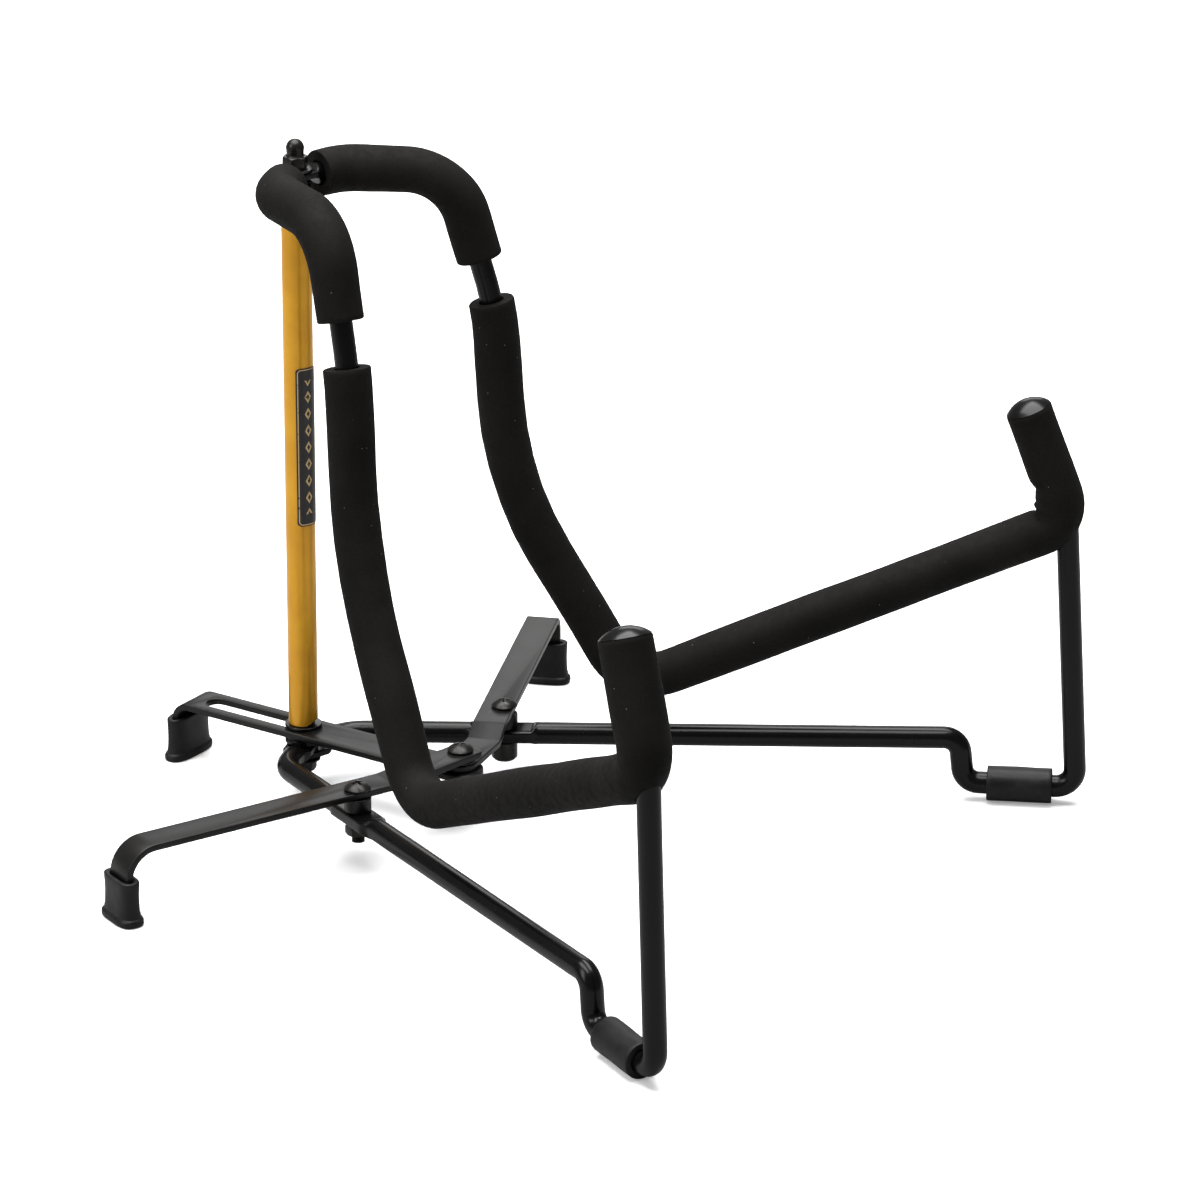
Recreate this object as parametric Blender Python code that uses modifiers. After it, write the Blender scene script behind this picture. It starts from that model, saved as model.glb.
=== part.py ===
"""Folding floor stand for a guitar: an upright post, two mirrored cradle frames and a linkage of flat bars.

Frame: metres, +Z up, the open side of the cradle faces -Y, the origin is under the middle of the stand.
The stand is modelled around its post axis, and a root empty then brings the middle of its outline to the origin.
"""

import math

import bmesh
import bpy
from mathutils import Matrix, Vector

COLLECTION = "guitar_stand"
GAP = 0.0003  # clearance between pieces that touch

# Spread of the two frames about the centre line
SPREAD = math.radians(27.0)
FRAME_OFFSET = 0.0187  # sideways from the post axis to the plane of a frame
ELBOW_REACH = 0.018  # forward from the post axis to the bend where a rod joins its plane
ELBOW_RADIUS = 0.018

# Post
POST_RADIUS = 0.0066
POST_BORE = POST_RADIUS - 0.0012
SLIDE_TOP = 0.0280
POST_FOOT = SLIDE_TOP + 0.0020
POST_HEAD = 0.2790
FLANGE_RADIUS = POST_RADIUS + 0.0017
FLANGE_THICK = 0.0012
PLUG_DEPTH = 0.010
TIE_RADIUS = 0.0021
COLLAR_RADIUS = FLANGE_RADIUS
NUT_ACROSS = 0.010
NUT_HEIGHT = 0.0046
DOME_RADIUS = 0.0040
DOME_NUT_BASE = 0.0052
DOME_NUT_HEIGHT = 0.0128
WASHER_THICK = 0.0010
WASHER_RADIUS = 0.0075
BADGE_FOOT = 0.1260
BADGE_HEAD = 0.1995
BADGE_THICK = 0.0004
BADGE_HALF_ANGLE = math.radians(38.0)
BADGE_FACING = math.radians(252.0)

# Rods and foam
ROD_RADIUS = 0.005
TAB_THICK = 0.0034
TAB_WIDTH = 0.0135
HEAD_TAB_LENGTH = 0.0068  # flat past the post axis
FOOT_TAB_LENGTH = 0.0088
TAB_RUN = 0.0052  # length over which a tab turns into the round rod
ARM_Z = POST_HEAD + 0.0055
FOAM_BORE = ROD_RADIUS + 0.0008
FOAM_RADIUS = FOAM_BORE + 0.0045
FOAM_START = 0.0122  # along the rod, from the post axis
FOAM_GAP_TOP = ARM_Z - 0.0390
FOAM_GAP_FOOT = ARM_Z - 0.0585
FOOT_CORNER = 0.3455  # along the frame, to the bend of the front foot
KNEE_Z = 0.1345
# Corners of the cradle rod in the plane of its frame: forward, height, bend radius
CRADLE_CORNERS = (
    (0.0666, ARM_Z, 0.027),
    (0.0844, ARM_Z - 0.0629, 0.120),
    (0.0892, 0.1422, 0.190),
    (0.1454, 0.0469, 0.022),
    (FOOT_CORNER - 0.0070, KNEE_Z, 0.014),
)
HOOK_TIP = (FOOT_CORNER - 0.0267, KNEE_Z + 0.0513)
CAP_DOME = 0.0034
CAP_RIM = 0.0012
CAP_STEM = 0.003
CAP_STEM_RADIUS = 0.0040

LEG_RUN_REAR_Z = 0.0185
LEG_RUN_FRONT_Z = 0.0293
RISER_TOP = FOOT_CORNER - 0.0525
RISER_FOOT = FOOT_CORNER - 0.0500
RISER_RADIUS = 0.0075
SLEEVE_RADIUS = ROD_RADIUS + 0.003
FOOT_Z = SLEEVE_RADIUS
FOOT_CORNER_RADIUS = 0.0085
FRONT_ROD_LEAN = 0.0625  # backward per unit of height
FRONT_ROD_TOP = KNEE_Z - 0.0016
SLIT_DEPTH = 0.030
COPE_RUN = 0.110  # stretch of the cradle rod that the front rod is coped around
SLEEVE_START = FOOT_CORNER - 0.0395
SLEEVE_END = FOOT_CORNER - 0.0105
PIVOT_REACH = 0.0885  # along the frame, from the post axis to the brace pivot
PADDLE_HALF = 0.0125
PADDLE_THICK = 1.2 * ROD_RADIUS
PADDLE_WIDTH = 2.6 * ROD_RADIUS
FLATTEN_RUN = 0.005  # length over which a rod changes from round to flat

# Bars of the linkage
BAR_THICK = 0.003
BRACE_WIDTH = 0.0150
SLIDE_WIDTH = 0.0200
BRACE_TOP = SLIDE_TOP + 0.0062
PIVOT_SIDE = PIVOT_REACH * math.sin(SPREAD) + FRAME_OFFSET * math.cos(SPREAD)
PIVOT_FORWARD = PIVOT_REACH * math.cos(SPREAD) - FRAME_OFFSET * math.sin(SPREAD)
CROSS_REACH = PIVOT_FORWARD + 0.0150  # from the post axis to the cross pivot, on the centre line
BRACE_KINK = (PIVOT_SIDE - 0.0316, PIVOT_FORWARD + 0.0101)  # sideways and forward
BRACE_TIP = (PIVOT_SIDE + 0.1052, PIVOT_FORWARD - 0.0485)
STEP_LENGTH = 0.0125
LEFT_STEP_START = 0.0300
RIGHT_STEP_START = 0.0265
LEFT_TOE_RADIUS = 0.0135
LEFT_NOSE_RADIUS = 0.0026  # the left bar ends almost square at the cross pivot
ROUND_NOSE_FLAT = 0.0002  # half the flat left in the middle of a round nose
RIGHT_TOE_RADIUS = 0.007
SLIDE_TOE_RADIUS = 0.007
SLIDE_TIP = 0.0650
TOE_FOOT = 0.006
SLOT_WIDTH = 0.0098
SLOT_REAR = 0.0530
SLOT_FRONT = 0.0055
PIVOT_HOLE = 0.0033
# The right brace's hole at the cross pivot is a short slot: middle, half length, heading and end radius
CROSS_SLOT_MIDDLE = (0.0016, -0.0005)
CROSS_SLOT_HALF = 0.0031
CROSS_SLOT_HEADING = math.radians(-22.0)
CROSS_SLOT_RADIUS = 0.0029
SCREW_RADIUS = 0.0029
CROSS_SCREW_RADIUS = 0.0019
SCREW_HEAD_RADIUS = 0.0059
SCREW_HEAD_HEIGHT = 0.0036
RECESS_LENGTH = 0.0052
RECESS_WIDTH = 0.0011
RECESS_DEPTH = 0.0018
SPACER_RADIUS = 0.0059
BARREL_RADIUS = 0.0058
BARREL_HEIGHT = 0.0090

# Rubber boots of the bars
BOOT_HEIGHT = 0.0200
BOOT_WALL = 0.0024
BOOT_FLARE = 0.0013
BOOT_FLANGE = 0.0035
BOOT_SOCKET_EXTRA = BAR_THICK / 3  # the socket grows with the bar that it takes

ARC_STEP = math.radians(18.0)
ROD_SIDES = 12
TURN_STEPS = 16

LEFT = -1
RIGHT = 1
SIDE_NAMES = {LEFT: "left", RIGHT: "right"}

COLOURS = {
    "gold_powder_coat": ((0.86, 0.56, 0.06), 0.32, 0.0),
    "black_gloss_enamel": ((0.012, 0.012, 0.013), 0.16, 0.0),
    "black_satin_coat": ((0.030, 0.030, 0.032), 0.34, 0.0),
    "black_oxide_steel": ((0.045, 0.043, 0.042), 0.35, 0.8),
    "black_foam": ((0.020, 0.019, 0.019), 0.92, 0.0),
    "black_rubber": ((0.022, 0.022, 0.023), 0.62, 0.0),
    "black_plastic": ((0.015, 0.015, 0.016), 0.22, 0.0),
    "dark_badge": ((0.020, 0.018, 0.020), 0.40, 0.0),
}


def clear_scene():
    """Remove every object that is already in the scene."""
    for item in list(bpy.data.objects):
        bpy.data.objects.remove(item)


def new_collection(name):
    """Return a new collection, linked to the scene."""
    collection = bpy.data.collections.new(name)
    bpy.context.scene.collection.children.link(collection)
    return collection


def make_materials():
    """Return one Principled material for each finish."""
    made = {}
    for name, (colour, roughness, metallic) in COLOURS.items():
        material = bpy.data.materials.new(name)
        material.use_nodes = True
        shader = material.node_tree.nodes["Principled BSDF"]
        shader.inputs["Base Color"].default_value = (*colour, 1.0)
        shader.inputs["Roughness"].default_value = roughness
        shader.inputs["Metallic"].default_value = metallic
        made[name] = material
    return made


class Shop:
    """Collections, finishes and the object maker that all sub-parts share."""

    def __init__(self):
        self.parts = new_collection(COLLECTION)
        self.cutters = new_collection("cutters")
        self.finishes = make_materials()
        self.root = self.empty("stand_root", Vector((0, 0, 0)), None)

    def empty(self, name, place, parent):
        """Add an empty at a world place, as the axis of a body."""
        item = bpy.data.objects.new(name, None)
        item.empty_display_size = 0.02
        self.parts.objects.link(item)
        item.parent = parent
        item.location = place - (world_place(parent) if parent else Vector((0, 0, 0)))
        return item

    def part(self, name, mesh, finish, axis):
        """Add a mesh that is modelled in world coordinates, with its origin on its body's axis."""
        mesh.transform(Matrix.Translation(-world_place(axis)))
        item = bpy.data.objects.new(name, mesh)
        self.parts.objects.link(item)
        item.parent = axis
        mesh.materials.clear()
        mesh.materials.append(self.finishes[finish])
        mesh.shade_smooth()
        mesh.set_sharp_from_angle(angle=math.radians(35.0))
        return item

    def boolean(self, item, mesh, operation):
        """Cut, join or intersect an object with a mesh that is modelled in world coordinates."""
        mesh.transform(Matrix.Translation(-world_place(item.parent)))
        tool = bpy.data.objects.new(item.name + "_tool", mesh)
        tool.hide_render = True
        tool.display_type = "WIRE"
        self.cutters.objects.link(tool)
        tool.parent = item.parent
        modifier = item.modifiers.new(operation.lower(), "BOOLEAN")
        modifier.operation = operation
        modifier.object = tool


def world_place(item):
    """Return the world place of an empty that hangs from other empties."""
    place = Vector((0, 0, 0))
    while item:
        place += item.location
        item = item.parent
    return place


def rounded_path(corners):
    """Return points along a path whose corners (place, bend radius) are turned into arcs."""
    points = [corners[0][0].copy()]
    for (before, _), (corner, radius), (after, _) in zip(corners, corners[1:], corners[2:]):
        inward = (before - corner).normalized()
        outward = (after - corner).normalized()
        turn = math.pi - inward.angle(outward)
        if radius == 0 or turn < 1e-4:
            points.append(corner.copy())
            continue
        reach = radius * math.tan(turn / 2)
        centre = corner + (inward + outward).normalized() * radius / math.cos(turn / 2)
        start = corner + inward * reach - centre
        axis = (-inward).cross(outward).normalized()
        count = max(2, math.ceil(turn / ARC_STEP))
        for index in range(count + 1):
            points.append(centre + Matrix.Rotation(turn * index / count, 3, axis) @ start)
    points.append(corners[-1][0].copy())
    return points


def path_lengths(points):
    """Return the length along a path at each of its points."""
    lengths = [0.0]
    for one, two in zip(points, points[1:]):
        lengths.append(lengths[-1] + (two - one).length)
    return lengths


def cut_path(points, start, end):
    """Return the stretch of a path between two lengths."""
    lengths = path_lengths(points)

    def at(length):
        for one, two, near, far in zip(points, points[1:], lengths, lengths[1:]):
            if length <= far:
                return one.lerp(two, (length - near) / (far - near))
        return points[-1].copy()

    inside = [point for point, length in zip(points, lengths) if start + GAP < length < end - GAP]
    return [at(start), *inside, at(end)]


def length_at_height(points, height):
    """Return the length along a falling path where it first reaches a height."""
    lengths = path_lengths(points)
    for one, two, near, far in zip(points, points[1:], lengths, lengths[1:]):
        if one.z > height >= two.z:
            return near + (far - near) * (one.z - height) / (one.z - two.z)
    return lengths[-1]


def length_nearest(points, place):
    """Return the length along a path where it passes nearest a place, seen from above."""
    best = (math.inf, 0.0)
    for one, two, near in zip(points, points[1:], path_lengths(points)):
        run = (two - one).xy
        if run.length < GAP:
            continue
        share = min(max((place.xy - one.xy).dot(run) / run.length_squared, 0.0), 1.0)
        best = min(best, ((one.xy + run * share - place.xy).length, near + (two - one).length * share))
    return best[1]


def curve_mesh(curve, place=Matrix.Identity(4)):
    """Return a curve's evaluated mesh with its caps welded, and remove the curve."""
    item = bpy.data.objects.new("outline", curve)
    bpy.context.scene.collection.objects.link(item)
    evaluated = item.evaluated_get(bpy.context.evaluated_depsgraph_get())
    mesh = bpy.data.meshes.new_from_object(evaluated)
    bpy.data.objects.remove(item)
    weld(mesh)
    mesh.transform(place)
    return mesh


def weld(mesh):
    """Join the vertices of a mesh that lie in one place."""
    work = bmesh.new()
    work.from_mesh(mesh)
    bmesh.ops.remove_doubles(work, verts=work.verts, dist=1e-6)
    work.to_mesh(mesh)
    work.free()


def tube_mesh(points, radius, caps=True):
    """Return a round tube along a path."""
    curve = bpy.data.curves.new("tube", "CURVE")
    curve.dimensions = "3D"
    curve.bevel_depth = radius
    curve.bevel_resolution = 4
    curve.use_fill_caps = caps
    spline = curve.splines.new("POLY")
    spline.points.add(len(points) - 1)
    for target, point in zip(spline.points, points):
        target.co = (*point, 1.0)
    return curve_mesh(curve)


def plate_mesh(outlines, thick, place=Matrix.Identity(4)):
    """Return a flat plate from closed outlines in XY, centred on its own plane; inner outlines are holes."""
    curve = bpy.data.curves.new("plate", "CURVE")
    curve.dimensions = "2D"
    curve.fill_mode = "BOTH"
    curve.extrude = thick / 2
    for outline in outlines:
        spline = curve.splines.new("POLY")
        spline.points.add(len(outline) - 1)
        for target, point in zip(spline.points, outline):
            target.co = (point[0], point[1], 0.0, 1.0)
        spline.use_cyclic_u = True
    return curve_mesh(curve, place)


def arc_points(centre, radius, start, end):
    """Return points on an arc in a plane, from one angle to another."""
    count = max(2, math.ceil(abs(end - start) / ARC_STEP))
    angles = [start + (end - start) * index / count for index in range(count + 1)]
    return [Vector((centre[0] + radius * math.cos(a), centre[1] + radius * math.sin(a))) for a in angles]


def round_slot(centre, half, radius, direction=0.0):
    """Return the outline of a slot: two half circles whose centres are half a length from its middle."""
    along = Vector((math.cos(direction), math.sin(direction))) * half
    near = Vector(centre) - along
    far = Vector(centre) + along
    quarter = math.pi / 2
    first = arc_points(far, radius, direction - quarter, direction + quarter)
    second = arc_points(near, radius, direction + quarter, direction + 3 * quarter)
    return first + second


def cylinder_mesh(place, radius, foot, head, sides=TURN_STEPS):
    """Return an upright cylinder or prism between two heights."""
    mesh = bpy.data.meshes.new("cylinder")
    work = bmesh.new()
    ends = {"radius1": radius, "radius2": radius}
    bmesh.ops.create_cone(work, cap_ends=True, segments=sides, depth=head - foot, **ends)
    bmesh.ops.translate(work, verts=work.verts, vec=(place[0], place[1], (head + foot) / 2))
    work.to_mesh(mesh)
    work.free()
    return mesh


def box_mesh(place, size):
    """Return a box by its centre and its size."""
    mesh = bpy.data.meshes.new("box")
    work = bmesh.new()
    bmesh.ops.create_cube(work, size=1.0)
    bmesh.ops.scale(work, verts=work.verts, vec=size)
    bmesh.ops.translate(work, verts=work.verts, vec=place)
    work.to_mesh(mesh)
    work.free()
    return mesh


def turned_part(shop, name, profile, place, finish, axis):
    """Add a turned piece: a profile of (radius, height) points, from its top down its outer side."""
    mesh = bpy.data.meshes.new(name)
    closed = profile[0][0] > 0
    edges = [(index, index + 1) for index in range(len(profile) - 1)]
    if closed:
        edges.append((len(profile) - 1, 0))
    mesh.from_pydata([(radius, 0.0, height) for radius, height in profile], edges, [])
    item = shop.part(name, mesh, finish, axis)
    mesh.transform(Matrix.Translation(world_place(axis)))
    item.location = Vector((place[0], place[1], 0)) - Vector((*world_place(axis).xy, 0))
    item.location.z = -world_place(axis).z
    screw = item.modifiers.new("turn", "SCREW")
    screw.steps = TURN_STEPS
    screw.render_steps = TURN_STEPS
    screw.use_merge_vertices = True
    screw.merge_threshold = 1e-5
    return item


def ring_profile(inner, outer, foot, head):
    """Return the profile of a plain ring."""
    return [(inner, head), (outer, head), (outer, foot), (inner, foot)]


def frame_place(side, reach, height, offset=FRAME_OFFSET):
    """Return the world place of a point given along a frame, up, and out from the post axis."""
    x = reach * math.sin(SPREAD) + offset * math.cos(SPREAD)
    y = offset * math.sin(SPREAD) - reach * math.cos(SPREAD)
    return Vector((side * x, y, height))


def section_mesh(points, section, sides=ROD_SIDES):
    """Return a solid lofted along a path; section gives half width, half thickness, squareness and lift."""
    lengths = path_lengths(points)
    mesh = bpy.data.meshes.new("loft")
    work = bmesh.new()
    rings = []
    lift = Vector((0, 0, 1))
    for index, (point, length) in enumerate(zip(points, lengths)):
        before = points[max(index - 1, 0)]
        after = points[min(index + 1, len(points) - 1)]
        along = (after - before).normalized()
        lift = (lift - along * lift.dot(along)).normalized()
        across = along.cross(lift)
        half_width, half_thick, square, shift = section(length)
        ring = []
        for step in range(sides):
            angle = 2 * math.pi * step / sides
            x = math.copysign(abs(math.cos(angle)) ** (2 / square), math.cos(angle)) * half_width
            z = math.copysign(abs(math.sin(angle)) ** (2 / square), math.sin(angle)) * half_thick
            ring.append(work.verts.new(point + across * x + lift * (z + shift)))
        rings.append(ring)
    for one, two in zip(rings, rings[1:]):
        for step in range(sides):
            following = (step + 1) % sides
            work.faces.new((one[step], one[following], two[following], two[step]))
    work.faces.new(rings[0][::-1])
    work.faces.new(rings[-1])
    bmesh.ops.recalc_face_normals(work, faces=work.faces)
    work.to_mesh(mesh)
    work.free()
    return mesh


def smooth(value):
    """Ease a value between 0 and 1."""
    value = min(max(value, 0.0), 1.0)
    return value * value * (3 - 2 * value)


def flattened(zones, tab_lift, tab_length):
    """Return the section of a rod with a flat round-ended tab at its start and flat zones along it."""

    def section(length):
        flat = 1 - smooth((length - TAB_WIDTH / 2 - tab_length) / TAB_RUN)
        width, thick, shift = TAB_WIDTH / 2, TAB_THICK / 2, tab_lift * flat
        for start, end in zones:
            inside = min(smooth((length - start) / FLATTEN_RUN + 1), smooth((end - length) / FLATTEN_RUN + 1))
            if inside > flat:
                flat, width, thick = inside, PADDLE_WIDTH / 2, PADDLE_THICK / 2
        half_width = ROD_RADIUS + (width - ROD_RADIUS) * flat
        half_thick = ROD_RADIUS + (thick - ROD_RADIUS) * flat
        radius = TAB_WIDTH / 2
        if length < radius:
            half_width = min(half_width, math.sqrt(max(radius**2 - (radius - length) ** 2, GAP**2)))
        return half_width, half_thick, 2 + 3 * flat, shift

    return section


def refined(points, stops):
    """Return a path with more points at the given lengths, where its section changes."""
    lengths = path_lengths(points)
    total = lengths[-1]
    wanted = sorted(set(lengths) | {stop for stop in stops if 0 < stop < total})
    kept = [wanted[0]]
    for length in wanted[1:]:
        if length - kept[-1] > GAP:
            kept.append(length)
    kept[-1] = total
    out = []
    index = 0
    for length in kept:
        while index < len(lengths) - 2 and lengths[index + 1] < length:
            index += 1
        share = (length - lengths[index]) / (lengths[index + 1] - lengths[index])
        out.append(points[index].lerp(points[index + 1], share))
    return out


def tab_stops(tab_length):
    """Return the lengths at which the flat end of a rod changes its section."""
    radius = TAB_WIDTH / 2
    turned = [radius * (1 - math.cos(math.radians(angle))) for angle in (20, 40, 60, 90)]
    start = radius + tab_length
    return turned + [start + TAB_RUN * share / 4 for share in range(5)]


def rod_start(side, height):
    """Return the first corners of a rod: its round tab end, and its bend into the plane of the frame."""
    elbow = frame_place(side, ELBOW_REACH, height)
    post = Vector((0, 0, height))
    back = (post - elbow).normalized() * (TAB_WIDTH / 2)
    return [(post + back, 0), (elbow, ELBOW_RADIUS)]


def cradle_path(side):
    """Return the path of a cradle rod from its tab to the tip of its hook."""
    corners = rod_start(side, ARM_Z)
    corners += [(frame_place(side, reach, height), radius) for reach, height, radius in CRADLE_CORNERS]
    corners.append((frame_place(side, *HOOK_TIP), 0))
    return rounded_path(corners)


def front_rod_reach(height):
    """Return how far forward the front rod stands at a height."""
    return FOOT_CORNER - FRONT_ROD_LEAN * (height - FOOT_Z)


def leg_path(side, top=FRONT_ROD_TOP):
    """Return the path of a leg rod: its run under the bars, its foot and its front rod."""
    corners = rod_start(side, LEG_RUN_REAR_Z)
    corners += [
        (frame_place(side, RISER_TOP, LEG_RUN_FRONT_Z), RISER_RADIUS),
        (frame_place(side, RISER_FOOT, FOOT_Z), RISER_RADIUS),
        (frame_place(side, FOOT_CORNER, FOOT_Z), FOOT_CORNER_RADIUS),
        (frame_place(side, front_rod_reach(top), top), 0),
    ]
    return rounded_path(corners)


def tab_height(index, foot):
    """Return the middle height of a tab in a stack of two that starts at a foot height."""
    return foot + GAP + TAB_THICK / 2 + index * (TAB_THICK + GAP)


UPPER_STACK = POST_HEAD + FLANGE_THICK + GAP
LOWER_STACK = SLIDE_TOP - BAR_THICK - 0.0118


def add_post(shop):
    """Add the post, its plugs, the tie rod through it, its nuts and its badge."""
    root = shop.root
    centre = (0.0, 0.0)
    bore = TIE_RADIUS + GAP
    tube = ring_profile(POST_BORE, POST_RADIUS, POST_FOOT, POST_HEAD)
    turned_part(shop, "post_tube", tube, centre, "gold_powder_coat", root)
    foot, head = POST_FOOT - GAP, POST_HEAD + GAP
    plug = POST_BORE - GAP
    lower = [(bore, foot + PLUG_DEPTH), (plug, foot + PLUG_DEPTH), (plug, foot), (FLANGE_RADIUS, foot)]
    lower += [(FLANGE_RADIUS, foot - FLANGE_THICK), (bore, foot - FLANGE_THICK)]
    turned_part(shop, "post_foot_bush", lower, centre, "black_plastic", root)
    upper = [(bore, head + FLANGE_THICK), (POST_RADIUS, head + FLANGE_THICK), (POST_RADIUS, head)]
    upper += [(plug, head), (plug, head - PLUG_DEPTH), (bore, head - PLUG_DEPTH)]
    turned_part(shop, "post_head_bush", upper, centre, "black_plastic", root)
    collar_head = SLIDE_TOP - BAR_THICK - GAP
    collar_foot = tab_height(1, LOWER_STACK) + TAB_THICK / 2 + GAP
    collar = ring_profile(bore, COLLAR_RADIUS, collar_foot, collar_head)
    turned_part(shop, "post_collar", collar, centre, "black_plastic", root)
    nut_top = tab_height(0, LOWER_STACK) - TAB_THICK / 2 - 2 * GAP - WASHER_THICK
    washer = ring_profile(bore, WASHER_RADIUS, nut_top + GAP, nut_top + GAP + WASHER_THICK)
    turned_part(shop, "base_washer", washer, centre, "black_oxide_steel", root)
    nut = cylinder_mesh(centre, NUT_ACROSS / math.sqrt(3), nut_top - NUT_HEIGHT, nut_top, 6)
    base_nut = shop.part("base_nut", nut, "black_oxide_steel", root)
    shop.boolean(base_nut, cylinder_mesh(centre, bore, nut_top - NUT_HEIGHT - GAP, nut_top + GAP), "DIFFERENCE")
    stack_top = tab_height(1, UPPER_STACK) + TAB_THICK / 2
    washer = ring_profile(bore, WASHER_RADIUS, stack_top + GAP, stack_top + GAP + WASHER_THICK)
    turned_part(shop, "head_washer", washer, centre, "black_oxide_steel", root)
    seat = stack_top + 2 * GAP + WASHER_THICK
    add_dome_nut(shop, seat, bore)
    tie_top = seat + DOME_NUT_HEIGHT - DOME_RADIUS
    tie_foot = nut_top - NUT_HEIGHT - 0.003
    tie = cylinder_mesh(centre, TIE_RADIUS, tie_foot, tie_top)
    shop.part("tie_rod", tie, "black_oxide_steel", root)
    add_badge(shop)


def add_dome_nut(shop, seat, bore):
    """Add the dome nut on the head of the post."""
    top = seat + DOME_NUT_HEIGHT
    hexagon = cylinder_mesh((0, 0), NUT_ACROSS / math.sqrt(3), seat, seat + DOME_NUT_BASE, 6)
    nut = shop.part("dome_nut", hexagon, "black_oxide_steel", shop.root)
    shoulder = top - DOME_RADIUS
    dome = tube_mesh([Vector((0, 0, seat + GAP)), Vector((0, 0, shoulder))], DOME_RADIUS)
    shop.boolean(nut, dome, "UNION")
    shop.boolean(nut, sphere_mesh(Vector((0, 0, shoulder - GAP)), DOME_RADIUS), "UNION")
    shop.boolean(nut, cylinder_mesh((0, 0), bore, seat - GAP, shoulder + GAP), "DIFFERENCE")


def sphere_mesh(place, radius):
    """Return a ball."""
    mesh = bpy.data.meshes.new("ball")
    work = bmesh.new()
    bmesh.ops.create_uvsphere(work, u_segments=TURN_STEPS, v_segments=10, radius=radius)
    bmesh.ops.translate(work, verts=work.verts, vec=place)
    work.to_mesh(mesh)
    work.free()
    return mesh


def add_badge(shop):
    """Add the plain curved badge on the post."""
    inner = POST_RADIUS + GAP
    outer = inner + BADGE_THICK
    start, end = BADGE_FACING - BADGE_HALF_ANGLE, BADGE_FACING + BADGE_HALF_ANGLE
    outline = arc_points((0, 0), outer, start, end) + arc_points((0, 0), inner, end, start)
    middle = Matrix.Translation((0, 0, (BADGE_FOOT + BADGE_HEAD) / 2))
    badge = plate_mesh([outline], BADGE_HEAD - BADGE_FOOT, middle)
    shop.part("post_badge", badge, "dark_badge", shop.root)


def add_frame(shop, side):
    """Add one frame: cradle rod, leg rod, foam, cap and sleeve, on an empty at the post axis."""
    name = SIDE_NAMES[side]
    axis = shop.empty(f"{name}_fold_axis", Vector((0, 0, 0)), shop.root)
    order = 0 if side == LEFT else 1
    add_cradle_rod(shop, side, name, axis, order)
    add_leg_rod(shop, side, name, axis, order)
    add_foam(shop, side, name, axis)
    add_hook_cap(shop, side, name, axis)
    sleeve_path = [frame_place(side, reach, FOOT_Z) for reach in (SLEEVE_START, SLEEVE_END)]
    sleeve = shop.part(f"{name}_foot_sleeve", tube_mesh(sleeve_path, SLEEVE_RADIUS), "black_rubber", axis)
    bore_path = [frame_place(side, reach, FOOT_Z) for reach in (SLEEVE_START - 0.002, SLEEVE_END + 0.002)]
    shop.boolean(sleeve, tube_mesh(bore_path, ROD_RADIUS + GAP), "DIFFERENCE")
    add_pivot(shop, side, name, axis)
    return axis


def add_cradle_rod(shop, side, name, axis, order):
    """Add the rod that carries the instrument."""
    path = refined(cradle_path(side), tab_stops(HEAD_TAB_LENGTH))
    path[-1] += (path[-2] - path[-1]).normalized() * (CAP_STEM + GAP)
    lift = tab_height(order, UPPER_STACK) - ARM_Z
    mesh = section_mesh(path, flattened((), lift, HEAD_TAB_LENGTH))
    rod = shop.part(f"{name}_cradle_rod", mesh, "black_gloss_enamel", axis)
    hole = cylinder_mesh((0, 0), TIE_RADIUS + GAP, ARM_Z - 0.01, ARM_Z + 0.01)
    shop.boolean(rod, hole, "DIFFERENCE")


def add_leg_rod(shop, side, name, axis, order):
    """Add the rod that stands on the floor, coped where it meets the cradle rod."""
    path = leg_path(side)
    pivot = frame_place(side, PIVOT_REACH, 0)
    centre = length_nearest(path, pivot)
    zone = (centre - PADDLE_HALF, centre + PADDLE_HALF)
    steps = [zone[0] - FLATTEN_RUN * share / 3 for share in range(4)]
    steps += [zone[1] + FLATTEN_RUN * share / 3 for share in range(4)]
    path = refined(path, tab_stops(FOOT_TAB_LENGTH) + steps)
    lift = tab_height(1 - order, LOWER_STACK) - LEG_RUN_REAR_Z
    mesh = section_mesh(path, flattened((zone,), lift, FOOT_TAB_LENGTH))
    rod = shop.part(f"{name}_leg_rod", mesh, "black_gloss_enamel", axis)
    shop.boolean(rod, cylinder_mesh((0, 0), TIE_RADIUS + GAP, LEG_RUN_REAR_Z - 0.012, LEG_RUN_REAR_Z + 0.012),
                 "DIFFERENCE")
    shop.boolean(rod, cylinder_mesh(pivot, SCREW_RADIUS + GAP, LEG_RUN_REAR_Z - 0.01, LEG_RUN_REAR_Z + 0.012),
                 "DIFFERENCE")
    cradle = cradle_path(side)
    total = path_lengths(cradle)[-1]
    shop.boolean(rod, tube_mesh(cut_path(cradle, total - COPE_RUN, total), ROD_RADIUS + GAP), "DIFFERENCE")


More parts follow.
